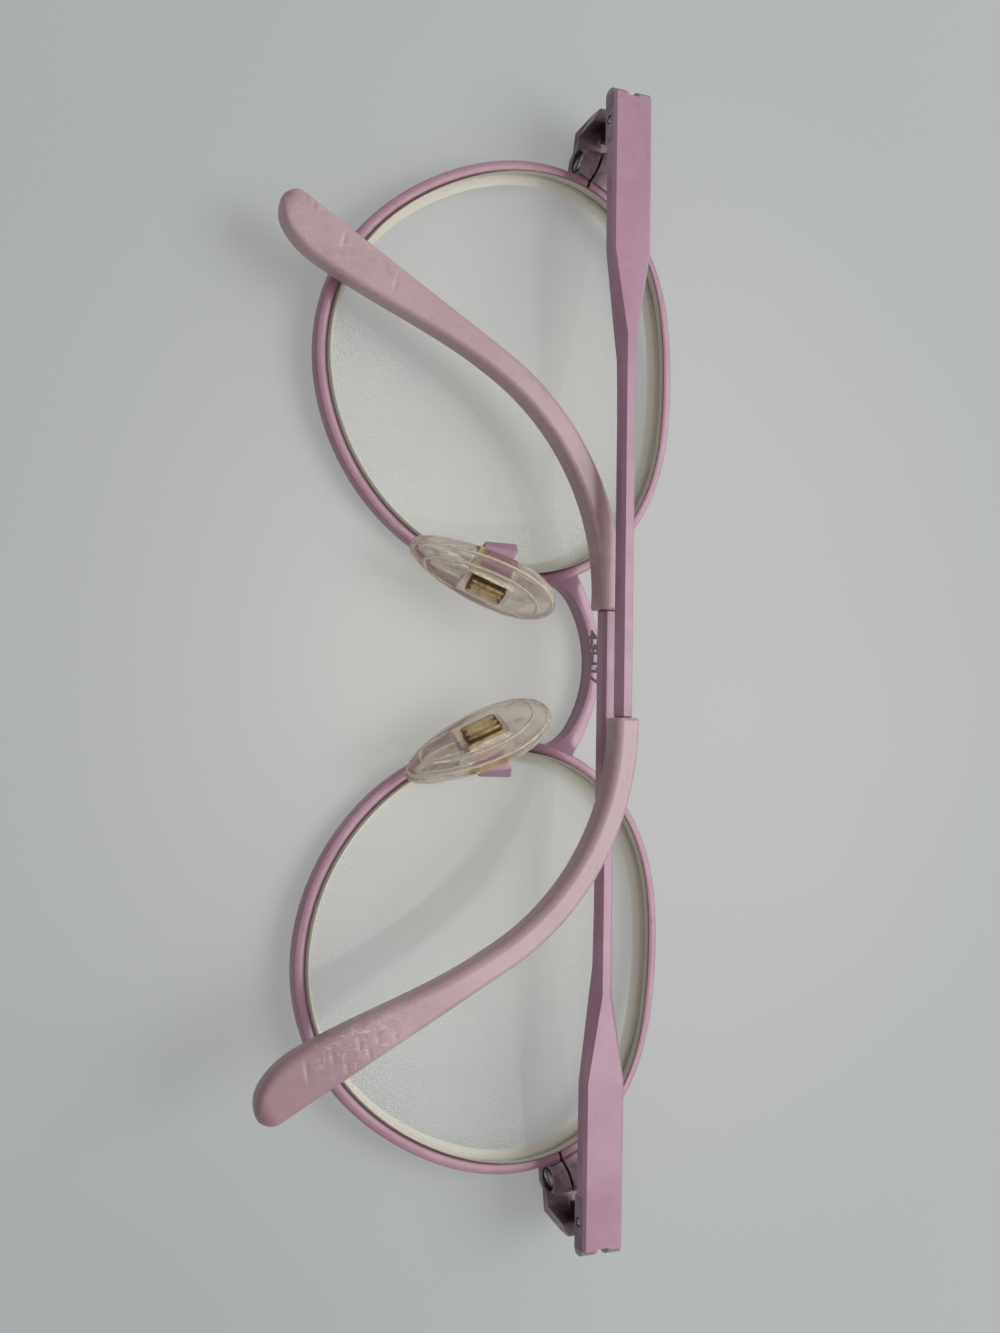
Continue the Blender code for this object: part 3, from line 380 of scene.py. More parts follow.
# A dark copy of the brass for the plate between the ribs: painted shade in the gaps.
RIB_GAP_SHADED_BRASS = make_brass("rib_gap_shaded_brass", srgb(112, 84, 40), srgb(52, 38, 18))
TIP = make_tip()
LENS = make_lens()
GROUND_EDGE = make_ground_edge()
SILICONE = make_silicone()
PAD_CORE = make_milky_ribs()
INK = make_ink()

FINISHES = {
    "rose_paint": PAINT, "worn_steel": STEEL, "pad_brass": BRASS, "tip_plastic": TIP,
    "lens_clear": LENS, "pad_silicone": SILICONE,
}


def add_object(name, data):
    """Add an object to the scene."""
    item = bpy.data.objects.new(name, data)
    bpy.context.scene.collection.objects.link(item)
    return item


def add_piece(name, shape, material, body, place=Matrix.Identity(4), smooth=40.0):
    """Add a shape at a place, riding on a body; edges over smooth degrees stay sharp."""
    vertices, faces = shape
    mesh = bpy.data.meshes.new(name)
    mesh.from_pydata([tuple(place @ Vector(v)) for v in vertices], [],
                     turned(faces, place.determinant() < 0))
    mesh.materials.append(material)
    mesh.shade_smooth()
    mesh.set_sharp_from_angle(angle=math.radians(smooth))
    item = add_object(name, mesh)
    if body:
        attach(item, body)
    return item


def turned(faces, flip):
    """Return faces, turned over where flip is true."""
    return [tuple(reversed(face)) for face in faces] if flip else faces


def loft(rings, flip=False):
    """Skin rings of equal count, with flat ends."""
    count = len(rings[0])
    vertices = [point for ring in rings for point in ring]
    faces = []
    for row in range(len(rings) - 1):
        here, there = row * count, (row + 1) * count
        for i in range(count):
            j = (i + 1) % count
            faces.append((here + i, here + j, there + j, there + i))
    faces.append(tuple(reversed(range(count))))
    faces.append(tuple(range((len(rings) - 1) * count, len(rings) * count)))
    return vertices, turned(faces, flip)


def merge(pieces):
    """Join several lists of vertices and faces into one."""
    vertices, faces = [], []
    for points, polygons in pieces:
        base = len(vertices)
        vertices += [Vector(point) for point in points]
        faces += [tuple(base + index for index in face) for face in polygons]
    return vertices, faces


# Corners closer than this are one, and edges that turn more than this stay sharp.
JOIN_WITHIN = 0.0015 * MM
SHARP_ANGLE = math.radians(38.0)


def chain_nodes(tree, chain):
    """Link a node group's input through a chain of nodes to its output."""
    for way in ("INPUT", "OUTPUT"):
        tree.interface.new_socket("Geometry", in_out=way, socket_type="NodeSocketGeometry")
    last = tree.nodes.new("NodeGroupInput").outputs[0]
    for item in chain:
        tree.links.new(last, item.inputs["Geometry"])
        last = item.outputs[0]
    tree.links.new(last, tree.nodes.new("NodeGroupOutput").inputs[0])


def make_join():
    """Return a node group that joins a node's faces and drops their fixed normals."""
    tree = bpy.data.node_groups.new("join_faces", "GeometryNodeTree")
    join = tree.nodes.new("GeometryNodeMergeByDistance")
    join.inputs["Distance"].default_value = JOIN_WITHIN
    drop = tree.nodes.new("GeometryNodeRemoveAttribute")
    drop.inputs["Name"].default_value = "custom_normal"
    chain_nodes(tree, (join, drop))
    return tree


def make_smooth():
    """Return a node group that smooths faces, apart from edges that turn sharply."""
    tree = bpy.data.node_groups.new("smooth_faces", "GeometryNodeTree")
    smooth = tree.nodes.new("GeometryNodeSetShadeSmooth")
    sharp = tree.nodes.new("GeometryNodeSetShadeSmooth")
    sharp.domain = "EDGE"
    sharp.inputs["Shade Smooth"].default_value = False
    angle = tree.nodes.new("GeometryNodeInputMeshEdgeAngle")
    compare = tree.nodes.new("FunctionNodeCompare")
    compare.operation = "GREATER_THAN"
    compare.inputs[1].default_value = SHARP_ANGLE
    tree.links.new(angle.outputs["Unsigned Angle"], compare.inputs[0])
    tree.links.new(compare.outputs[0], sharp.inputs["Selection"])
    chain_nodes(tree, (smooth, sharp))
    return tree


JOIN = make_join()
SMOOTH = make_smooth()


def soften(item, width):
    """Round a node's hard edges a little, as paint and tumbling do, and smooth its curves."""
    item.modifiers.new("join", "NODES").node_group = JOIN
    if width:
        bevel = item.modifiers.new("worn_edges", "BEVEL")
        bevel.width = width
        bevel.segments = 2
        bevel.limit_method = "ANGLE"
        bevel.angle_limit = SHARP_ANGLE
        item.modifiers.new("close_slivers", "NODES").node_group = JOIN
    item.modifiers.new("smooth", "NODES").node_group = SMOOTH
    weighted = item.modifiers.new("flat_faces", "WEIGHTED_NORMAL")
    weighted.keep_sharp = True


# How much each kind of node is rounded at its edges, in millimetres.
EDGE_WIDTHS = {"bridge": 0.10, "temple": 0.08, "endpiece": 0.08, "hinge_fork": 0.06,
               "closing_block": 0.07, "pad_arm": 0.06, "pad_box": 0.05, "pad_insert": 0.03}
# The kinds of node whose lacquer is not the plain one: the hinge parts' darker lacquer is partly grime and partly
# painted shade, and the rims' has deeper painted shade in corners.
OTHER_PAINTS = {"endpiece": DIRTY_SHADED_PAINT, "closing_block": DIRTY_SHADED_PAINT, "hinge_fork": DIRTY_SHADED_PAINT,
                "rim": RIM_PAINT}


def dress_nodes():
    """Give every CAD node its finish and its softened edges."""
    slots = {row["node"]: row["material_slot"] for row in frame["record"]["subparts"]}
    for name, item in NODES.items():
        kind = name.rsplit("_", 1)[0] if name.endswith(("_left", "_right")) else name
        item.data.materials.clear()
        item.data.materials.append(OTHER_PAINTS.get(kind, FINISHES[slots[name]]))
        soften(item, EDGE_WIDTHS.get(kind, 0.0) * MM)


# The front, on the boxing system: lens box, distance between lenses, rim section and bridge.
LENS_WIDTH = 43.0 * MM
LENS_HEIGHT = 39.3 * MM
LENS_DISTANCE = 17.4 * MM
LENS_OVAL = 0.040
LENS_PANTO = 0.038
LENS_CORNER = 0.007
FACE_WRAP = math.radians(3.0)
FRONT_CURVE = 200.0 * MM
BACK_CURVE = 110.0 * MM
LENS_THICK = 1.4 * MM
RIM_DEPTH = 1.8 * MM
RIM_WALL = 0.62 * MM
LENS_INSET = 0.67 * MM
BEVEL_HALF = 0.5 * MM
BEVEL_CLEAR = 0.1 * MM
BRIDGE_UNDER = (11.6 * MM, 12.2 * MM)
BRIDGE_TOP = (12.7 * MM, 16.5 * MM)
BRIDGE_ROUND = 0.10 * MM
BRIDGE_SEAT = 0.2 * MM
BRIDGE_STEPS = 20
FLARE_STEPS = 12
FLARE_UNDER = 1.9 * MM
FLARE_TOP = 0.7 * MM
FLARE_BACK = 1.68 * MM
FLARE_FRONT = 0.35 * MM
CLOSING_HEIGHT = 8.9 * MM
BLOCK_HEIGHT = 1.5 * MM
ENDPIECE_TOP = 12.8 * MM
LENS_STEPS = 160
FRONT_EDGE_IN = 0.55 * MM
ANGLE_STEP = 0.001
GROUND_FROM = 0.955
LENS_SHARES = (0.01, 0.2, 0.4, 0.6, 0.8, 0.9, GROUND_FROM, 1.0)
CROSSING_RANGE = (math.radians(95.0), math.radians(180.0))
HALVINGS = 40


def lens_shape(angle):
    """Return a point of the lens outline before it is scaled to its box."""
    radius = (1.0 + LENS_OVAL * math.cos(2 * angle) + LENS_PANTO * math.sin(3 * angle)
              - LENS_CORNER * math.cos(4 * angle) + LENS_CORNER * math.sin(4 * angle))
    return radius * math.cos(angle), radius * math.sin(angle)


def shape_box():
    """Return the centre and size of the unscaled outline."""
    points = [lens_shape(math.radians(degree)) for degree in range(360)]
    spans = [(min(values), max(values)) for values in zip(*points)]
    return [(low + high) / 2 for low, high in spans], [high - low for low, high in spans]


SHAPE_CENTRE, SHAPE_SIZE = shape_box()


def lens_outline(angle, offset=0.0):
    """Return a point offset outwards from the lens bevel's tip, about the lens box's centre."""
    def scaled(a):
        x, y = lens_shape(a)
        return Vector(((x - SHAPE_CENTRE[0]) * LENS_WIDTH / SHAPE_SIZE[0],
                       (y - SHAPE_CENTRE[1]) * LENS_HEIGHT / SHAPE_SIZE[1]))
    along = scaled(angle + ANGLE_STEP) - scaled(angle - ANGLE_STEP)
    return scaled(angle) + Vector((along.y, -along.x)).normalized() * offset


NASAL_REACH = -min(lens_outline(math.radians(d), RIM_WALL).x for d in range(120, 241))
LENS_U = LENS_DISTANCE / 2 - RIM_WALL + NASAL_REACH * math.cos(FACE_WRAP)
LENS_Z = NASAL_REACH * math.sin(FACE_WRAP)


def lens_place(side, shift=(0, 0, 0)):
    """Return a lens's place in the frame, for points drawn for the right side."""
    flip = Matrix.Diagonal((side, 1, 1, 1))
    return (Matrix.Translation(shift) @ flip @ Matrix.Translation((LENS_U, 0, LENS_Z))
            @ Matrix.Rotation(-FACE_WRAP, 4, "Y"))


def sphere_drop(radius, distance):
    """Return how far a spherical surface falls away at a distance from its pole."""
    return radius - math.sqrt(radius * radius - distance * distance)


def lens_rings():
    """Return the lens's rings from its front pole to its back pole, and the ground ones."""
    groove = RIM_DEPTH / 2
    edge = groove - BEVEL_HALF
    front_pole = edge - sphere_drop(FRONT_CURVE, LENS_WIDTH / 2 - FRONT_EDGE_IN)
    angles = [2 * math.pi * i / LENS_STEPS for i in range(LENS_STEPS)]

    def surface(pole, curve, share):
        points = [lens_outline(angle, -LENS_INSET) * share for angle in angles]
        return [(p.x, p.y, pole + sphere_drop(curve, p.length)) for p in points]

    rings = [surface(front_pole, FRONT_CURVE, share) for share in LENS_SHARES]
    ground = range(len(rings) - 2, len(rings) + 2)
    for offset, back in ((-BEVEL_CLEAR, groove), (-LENS_INSET, groove + BEVEL_HALF)):
        points = [lens_outline(angle, offset) for angle in angles]
        rings.append([(p.x, p.y, back) for p in points])
    back_pole = front_pole + LENS_THICK
    rings += [surface(back_pole, BACK_CURVE, share) for share in reversed(LENS_SHARES)]
    return rings, ground


def make_lenses():
    """Replace the lenses by finer ones whose edge is ground; return the frame's shift."""
    shift = Vector((0, 0, 0))
    rings, ground = lens_rings()
    shape = loft(rings)
    for label, side in SIDES:
        place = lens_place(side)
        placed = [place @ Vector(v) for v in shape[0]]
        low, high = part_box(f"lens_{label}")
        for axis in range(3):
            values = [v[axis] for v in placed]
            shift[axis] = (low[axis] + high[axis] - min(values) - max(values)) / 2
        item = add_piece(f"clear_lens_{label}", shape, LENS, "front",
                         lens_place(side, shift))
        item.data.materials.append(GROUND_EDGE)
        for polygon in item.data.polygons:
            if polygon.index // LENS_STEPS in ground:
                polygon.material_index = 1
        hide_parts(f"lens_{label}")
    return shift


def arc_height(arc, x):
    """Return the height of one of the bridge's arcs."""
    top, radius = arc
    return top - radius + math.sqrt(max(radius * radius - x * x, 0.0))


def smooth_step(share):
    """Return a share that starts and ends gently."""
    return share * share * (3 - 2 * share)


def rim_crossing(arc, place):
    """Return the angle on the rim at which its outer wall meets an arc of the bridge."""
    low, high = CROSSING_RANGE
    for _ in range(HALVINGS):
        middle = (low + high) / 2
        point = place @ lens_outline(middle, RIM_WALL).to_3d()
        if point.y > arc_height(arc, point.x):
            low = middle
        else:
            high = middle
    return low


def bridge_edge(arc, place, flare):
    """Return one edge of half the bridge: along its arc, then turned along the rim."""
    crossing = rim_crossing(arc, place)
    corner = place @ lens_outline(crossing, RIM_WALL).to_3d()
    turn = flare / (LENS_WIDTH / 2)
    end = place @ lens_outline(crossing + turn, RIM_WALL - BRIDGE_SEAT).to_3d()
    start = corner.x - abs(flare)
    edge = []
    for i in range(BRIDGE_STEPS):
        x = start * i / BRIDGE_STEPS
        edge.append(Vector((x, arc_height(arc, x))))
    leave, bend = Vector((start, arc_height(arc, start))), corner.to_2d()
    for i in range(FLARE_STEPS + 1):
        share = i / FLARE_STEPS
        edge.append(leave.lerp(bend, share).lerp(bend.lerp(end.to_2d(), share), share))
    return edge


def make_bridge(shift):
    """Replace the bridge by one whose ends flare smoothly into the rims, as brazed ends do."""
    low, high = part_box("bridge")
    place = lens_place(1)
    halves = [bridge_edge(arc, place, flare) for arc, flare in
              ((BRIDGE_UNDER, FLARE_UNDER), (BRIDGE_TOP, -FLARE_TOP))]
    turn = BRIDGE_ROUND
    soft = 0.3 * turn
    half = []
    for i, (under, over) in enumerate(zip(*halves)):
        share = smooth_step(max(i - BRIDGE_STEPS, 0) / FLARE_STEPS)
        top = high.z + (FLARE_BACK - high.z) * share
        foot = low.z + (FLARE_FRONT - low.z) * share
        way = (over - under).normalized()
        section = ((under, 0.0, foot + turn), (under, turn, foot),
                   (over, -turn, foot), (over, 0.0, foot + turn),
                   (over, 0.0, top - turn), (over, -soft, top - soft),
                   (over, -turn, top), (under, turn, top),
                   (under, soft, top - soft), (under, 0.0, top - turn))
        half.append([(*(point + way * inwards), z) for point, inwards, z in section])
    mirrored = [[(-x, y, z) for x, y, z in ring] for ring in half]
    item = add_piece("brazed_bridge", loft(mirrored[::-1] + half[1:]), PAINT, "front",
                     Matrix.Translation((shift.x, shift.y, 0.0)), 50.0)
    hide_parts("bridge")


# A brazed seam's section, outwards from the rim's wall and backwards, in millimetres.
BRAZE_SECTION = ((-0.12, 0.25), (-0.12, 1.62), (0.02, 1.70), (0.16, 1.74), (0.22, 1.6),
                 (0.22, 0.25))
BRAZE_CLEAR = 0.15 * MM
BRAZE_STEPS = 1440


def braze(name, place, angles):
    """Sweep a brazed seam along the rim."""
    rings = []
    for angle in angles:
        ring = []
        for out, back in BRAZE_SECTION:
            point = lens_outline(angle, RIM_WALL + out * MM)
            ring.append((point.x, point.y, back * MM))
        rings.append(ring)
    add_piece(name, loft(rings), PAINT, "front", place, 70.0)


def make_brazes(shift):
    """Close the seams between rim and closing blocks, as painted brazing does."""
    low, high = CLOSING_HEIGHT - BRAZE_CLEAR, CLOSING_HEIGHT + BRAZE_CLEAR
    for label, side in SIDES:
        place = lens_place(side, shift)
        lower, upper = [], []
        for i in range(BRAZE_STEPS):
            angle = 2 * math.pi * i / BRAZE_STEPS - math.pi / 2
            wall = lens_outline(angle, RIM_WALL)
            if wall.x > 0 and CLOSING_HEIGHT - BLOCK_HEIGHT < wall.y < low:
                lower.append(angle)
            if wall.x > 0 and high < wall.y < ENDPIECE_TOP:
                upper.append(angle)
        braze(f"lower_braze_{label}", place, lower)
        braze(f"upper_braze_{label}", place, upper)


# Temple tips, in distances along the temple's middle line from its hinge pin.
PIN_TO_FACE = 1.25 * MM
BAR_DEPTH = 1.9 * MM
BAR_MIDDLE = PIN_TO_FACE - BAR_DEPTH / 2
BEND_RADIUS = 26.2 * MM
BENDS = {"right": (63.3 * MM, math.radians(59.6)), "left": (62.2 * MM, math.radians(60.4))}
RESTS = {"right": math.radians(-1.8), "left": math.radians(-1.9)}
TIP_START = 61.6 * MM
TIP_END = 116.9 * MM
TIP_WIDTH = 2.65 * MM
TIP_THICK = 2.5 * MM
PADDLE_WIDTH = 4.8 * MM
PADDLE_THICK = 2.4 * MM
PADDLE_GROWS = 91.5 * MM
PADDLE_FULL = 113.0 * MM
TIP_HEEL = 6.2 * MM
HEEL_POWER = 2.4
NOSE_POWER = 2.2
TIP_NOSE = 1.5 * MM
NOSE_SHARES = (0.985, 0.96, 0.92, 0.86, 0.78, 0.68, 0.56, 0.42, 0.26, 0.1)
MOUTH_CLEAR = 0.05 * MM
TIP_ROUND = 0.5 * MM
PADDLE_ROUND = 0.62 * MM
RIDGES = {"right": 0.55 * MM, "left": 0.8 * MM}
LIP_LONG = 1.6 * MM
LIP_SWELL = 0.04 * MM
LIP_DEEP = 0.3 * MM
# The lip's turn into the mouth: the share of its depth, and of its size.
LIP_TURN = ((0.3, 0.97), (0.0, 0.90))
CORE_ROOM = 0.84 * MM
CORE_ROUND = 0.3 * MM
CORE_END = 106.2 * MM
BORE_STEPS = 24
ROUND_SHARE = 0.98
CORNER_STEPS = 7
SIDE_STEPS = 4
TOP_STEPS = 14

# Cuts across the tips: distance along, place across, depth and half length, in millimetres.
DENTS = {
    "right": ((114.2, 0.9, 0.08, 0.6), (109.9, -0.5, 0.07, 0.8), (103.6, -0.6, 0.05, 0.7)),
    "left": ((108.6, -1.3, 0.04, 0.5), (107.9, 0.2, 0.05, 0.4), (105.9, -0.9, 0.05, 0.5),
             (105.5, 0.3, 0.06, 0.3), (104.2, -0.3, 0.04, 0.4), (102.6, 0.3, 0.05, 0.3),
             (111.2, -1.6, 0.05, 0.9)),
}
CUT_HALF = 0.2
CUT_SLANT = 0.35
DENT_ZONE = 97.0 * MM
ZONE_STEPS = 150
PLAIN_STEPS = 100


def temple_point(label, distance, across, n):
    """Return a point beside a temple's middle line, in the hinge's own directions."""
    start, turn = BENDS[label]
    heading = min(max(distance - start, 0.0) / BEND_RADIUS, turn)
    beyond = max(distance - start, 0.0) - BEND_RADIUS * heading
    s = min(distance, start) + BEND_RADIUS * math.sin(heading) + beyond * math.cos(heading)
    height = -BEND_RADIUS * (1 - math.cos(heading)) - beyond * math.sin(heading)
    return Vector((-s - across * math.sin(heading), height + across * math.cos(heading), n))


def dented(label, distance, across):
    """Return how deep the tip's upper face is dented at a place."""
    depth = 0.0
    for along, side, deep, half_long in DENTS[label]:
        beside = across / MM - side
        far = (((distance / MM - along - CUT_SLANT * beside) / CUT_HALF) ** 2
               + (beside / half_long) ** 2)
        depth += deep * MM * math.exp(-far)
    return depth


def soft_square(half_wide, half_thick, turn, ridge=0.0):
    """Return a rounded rectangle's points: its upper corner at -across may be rounder."""
    limit = ROUND_SHARE * min(half_wide, half_thick)
    turn, ridge = min(turn, limit), min(max(ridge, turn), limit)
    corners = ((1, -1, 0.0, turn), (-1, -1, -90.0, turn), (-1, 1, -180.0, ridge),
               (1, 1, -270.0, turn))

    def corner_point(corner, angle):
        x, y, _, radius = corner
        angle = math.radians(angle)
        return (x * (half_wide - radius) + radius * math.cos(angle),
                y * (half_thick - radius) + radius * math.sin(angle))

    points = []
    for k, corner in enumerate(corners):
        start = corner[2]
        for i in range(CORNER_STEPS):
            points.append(corner_point(corner, start - 90.0 * i / (CORNER_STEPS - 1)))
        last, there = points[-1], corner_point(corners[(k + 1) % 4], start - 90.0)
        inner = TOP_STEPS if k == 2 else SIDE_STEPS
        for i in range(1, inner + 1):
            share = i / (inner + 1)
            points.append((last[0] + (there[0] - last[0]) * share,
                           last[1] + (there[1] - last[1]) * share))
    return points


def tip_ring(label, distance, swell=0.0):
    """Return the plastic tip's section, which widens on its under side to a heel."""
    grown = smooth_step(min(max((distance - PADDLE_GROWS) / (PADDLE_FULL - PADDLE_GROWS), 0), 1))
    heel = max(distance - TIP_END + TIP_HEEL, 0.0) / TIP_HEEL
    nose = max(distance - TIP_END + TIP_NOSE, 0.0) / TIP_NOSE
    top = TIP_WIDTH / 2 * math.sqrt(1 - nose ** 2)
    under = (TIP_WIDTH / 2 + (PADDLE_WIDTH - TIP_WIDTH) * grown) * math.sqrt(1 - heel ** HEEL_POWER)
    middle, half_width = (top - under) / 2, (top + under) / 2
    half_thick = (TIP_THICK + (PADDLE_THICK - TIP_THICK) * grown) / 2
    half_thick *= math.sqrt(1 - nose ** NOSE_POWER)
    turn = TIP_ROUND + (PADDLE_ROUND - TIP_ROUND) * grown
    ring = []
    for x, n in soft_square(half_width + swell, half_thick + swell, turn, RIDGES[label]):
        across = middle + x
        if n > 0:
            n -= dented(label, distance, across) * n / half_thick
        ring.append(temple_point(label, distance, across, BAR_MIDDLE + n))
    return ring


def bore_ring(label, distance):
    """Return the bore's section round the temple's core."""
    return [temple_point(label, distance, across, BAR_MIDDLE + n)
            for across, n in soft_square(CORE_ROOM, CORE_ROOM, CORE_ROUND)]


def tip_distances(mouth):
    """Return how far along a tip's rings lie, from its nose to its mouth."""
    last = TIP_END - TIP_NOSE
    distances = [TIP_END - TIP_NOSE * (1 - share) for share in NOSE_SHARES]
    distances += [last + (DENT_ZONE - last) * i / ZONE_STEPS for i in range(ZONE_STEPS)]
    distances += [DENT_ZONE + (mouth + LIP_DEEP - DENT_ZONE) * i / PLAIN_STEPS
                  for i in range(PLAIN_STEPS + 1)]
    return distances


def tip_rings(label):
    """Return a tip's rings: along its outside, in at its lip and along its bore."""
    mouth = TIP_START + MOUTH_CLEAR
    rings = []
    for distance in tip_distances(mouth):
        swell = LIP_SWELL * smooth_step(max(1 - (distance - mouth) / LIP_LONG, 0.0))
        rings.append(tip_ring(label, distance, swell))
    centre = temple_point(label, mouth, 0.0, BAR_MIDDLE)
    for drop, share in LIP_TURN:
        rings.append([centre.lerp(point, share)
                      for point in tip_ring(label, mouth + drop * LIP_DEEP)])
    for i in range(BORE_STEPS + 1):
        rings.append(bore_ring(label, mouth + (CORE_END - mouth) * i / BORE_STEPS))
    return rings


def make_tips():
    """Replace the plain tips by finer ones with their dents."""
    for label, side in SIDES:
        place = (Matrix.Translation(PINS[label]) @ Matrix.Rotation(RESTS[label], 4, "Y")
                 @ Matrix.Diagonal((side, 1, 1, 1)))
        item = add_piece(f"plastic_tip_{label}", loft(tip_rings(label), flip=True), TIP,
                         f"{label}_temple", place)
        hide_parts(f"temple_tip_{label}")


# Nose pads, in the directions of the screw on which they rock: width, length, outer face.
PAD_LENGTH = 16.0 * MM
PAD_WIDTH = 7.6 * MM
PAD_EGG = 0.24
PAD_SHIFT = Vector((0.0, -0.7, 0.6)) * MM
PAD_LEANS = {"right": math.radians(-26.0), "left": math.radians(-22.0)}
PAD_RISE = math.radians(12.0)
PAD_SPLAY = math.radians(30.0)
PAD_ROCKS = {"right": math.radians(5.0), "left": math.radians(-3.0)}
BOX_HALF = (1.15 * MM, 2.0 * MM)
POCKET_CLEAR = 0.35 * MM
POCKET_FLOOR = 1.35 * MM
POCKET_BACK = -4.0 * MM
POCKET_DOWN = 0.3 * MM
SLOT_HALF = (0.6 * MM, 1.5 * MM)
SLOT_FLOOR = 1.8 * MM
PAD_STEPS = 72
PAD_SMOOTH = 60.0
# The pad's section from its flat back to its domed face: inset from the outline and height.
PAD_SECTION = ((1.6, -1.50), (0.9, -1.50), (0.55, -1.42), (0.28, -1.22), (0.10, -0.92), (0.0, -0.55),
               (0.02, -0.25), (0.12, -0.02), (0.30, 0.10), (0.46, 0.18), (0.62, 0.36), (0.85, 0.62),
               (1.2, 0.92), (1.6, 1.18), (2.1, 1.38), (2.7, 1.52), (3.2, 1.58), (3.6, 1.60))
# The moulded loop and hem inside a pad.
LOOP_LEVEL = 1.15 * MM
LOOP_HALF = (2.45 * MM, 6.1 * MM)
LOOP_EGG = 0.22
LOOP_DOWN = 0.6 * MM
LOOP_RADIUS = 0.15 * MM
HEM_STEPS = 96
HEM_IN = 0.42 * MM
HEM_LEVEL = -0.3 * MM
HEM_RADIUS = 0.12 * MM
# The ribs inside a pad: starts and ends, across and along, in millimetres.
PAD_RIBS = (((-0.9, -6.0), (-1.5, -2.9)), ((0.1, -6.2), (0.2, -2.9)), ((0.9, -5.8), (1.5, -3.0)),
            ((-1.1, 3.2), (-1.3, 4.6)), ((0.9, 3.2), (1.2, 4.4)))
RIB_LIFT = 0.2 * MM
RIB_STEPS = 12


def pad_place(label, side):
    """Return a pad's place: its screw's middle and its three directions."""
    pivot = Vector(JOINTS[f"{label}_pad_rock"]["pos_m"])
    lean = PAD_LEANS[label]
    length = Vector((math.sin(lean), math.cos(lean) * math.cos(PAD_RISE),
                     math.cos(lean) * math.sin(PAD_RISE))).normalized()
    facing = Vector((-math.cos(PAD_SPLAY), 0.0, math.sin(PAD_SPLAY)))
    facing = (facing - length * facing.dot(length)).normalized()
    turn = Matrix((length.cross(facing), length, facing)).transposed().to_4x4()
    flip = Matrix.Diagonal((side, 1, 1, 1))
    return (Matrix.Translation(pivot) @ flip @ turn @ flip
            @ Matrix.Rotation(side * PAD_ROCKS[label], 4, "Y") @ flip)


def egg_point(angle, inset):
    """Return a point of the pad's outline, moved inwards."""
    half_w, half_l = PAD_WIDTH / 2, PAD_LENGTH / 2
    across = half_w * math.cos(angle) * (1 + PAD_EGG * math.sin(angle)) * (1 - inset / half_w)
    return across, half_l * math.sin(angle) * (1 - inset / half_l)


def egg_ring(steps, inset, height):
    """Return a ring of the pad's outline, moved inwards, at a height."""
    ring = []
    for i in range(steps):
        across, along = egg_point(2 * math.pi * i / steps, inset)
        ring.append(Vector((across, along, height)) + PAD_SHIFT)
    return ring


def tube(path, radius, steps=8, closed=False):
    """Return a round tube along a path of points."""
    rings = []
    count = len(path)
    for i, point in enumerate(path):
        before = path[(i - 1) % count] if closed or i else path[0]
        after = path[(i + 1) % count] if closed or i < count - 1 else path[-1]
        along = (after - before).normalized()
        across = along.cross(Vector((0, 0, 1))).normalized()
        rise = across.cross(along)
        thin = radius if closed else radius * math.sin(math.pi * (i + 0.5) / count) ** 0.5
        rings.append([point + across * thin * math.cos(2 * math.pi * k / steps)
                      + rise * thin * math.sin(2 * math.pi * k / steps) for k in range(steps)])
    if not closed:
        return loft(rings, flip=True)
    vertices, faces = loft(rings + [rings[0]], flip=True)
    kept = count * steps
    faces = [tuple(index % kept for index in face) for face in faces[:-2]]
    return vertices[:kept], faces


def cut_out(item, tools):
    """Cut tools from a piece for good, and delete them."""
    for tool in tools:
        modifier = item.modifiers.new("cut", "BOOLEAN")
        modifier.operation = "DIFFERENCE"
        modifier.solver = "EXACT"
        modifier.object = tool
    bpy.context.view_layer.update()
    ready = item.evaluated_get(bpy.context.evaluated_depsgraph_get())
    mesh = bpy.data.meshes.new_from_object(ready)
    item.modifiers.clear()
    item.data = mesh
    for tool in tools:
        bpy.data.objects.remove(tool)


BOX_FACES = ((3, 2, 1, 0), (4, 5, 6, 7), (0, 1, 5, 4), (1, 2, 6, 5), (2, 3, 7, 6), (3, 0, 4, 7))


def box_corners(low, high):
    """Return a box's corners, in the order of BOX_FACES."""
    return [(x, y, z) for z in (low[2], high[2])
            for x, y in ((low[0], low[1]), (high[0], low[1]), (high[0], high[1]),
                         (low[0], high[1]))]


def cut_pocket(pad, place):
    """Cut the pocket for the box and the slot for the insert's root from a pad."""
    wide, tall = BOX_HALF[0] + POCKET_CLEAR, BOX_HALF[1] + POCKET_CLEAR
    hollows = (((-wide, -tall - POCKET_DOWN, POCKET_BACK), (wide, tall, POCKET_FLOOR)),
               ((-SLOT_HALF[0], -SLOT_HALF[1], 0.0), (*SLOT_HALF, SLOT_FLOOR)))
    cut_out(pad, [add_piece("hollow", (box_corners(low, high), BOX_FACES), SILICONE, None,
                            place) for low, high in hollows])
    pad.data.shade_smooth()
    pad.data.set_sharp_from_angle(angle=math.radians(PAD_SMOOTH))


def make_pads():
    """Replace the plain pads by clear moulded ones, with the ribs and brass plates inside."""
    for label, side in SIDES:
        place = pad_place(label, side)
        rings = [egg_ring(PAD_STEPS, inset * MM, height * MM) for inset, height in PAD_SECTION]
        pad = add_piece(f"soft_pad_{label}", loft(rings), SILICONE, f"{label}_pad",
                        place, PAD_SMOOTH)
        cut_pocket(pad, place)
        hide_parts(f"nose_pad_{label}")
        make_pad_core(label, place)
        make_pad_plate(label, place)
        if label == "left":
            make_arm_plate(label, side, place)


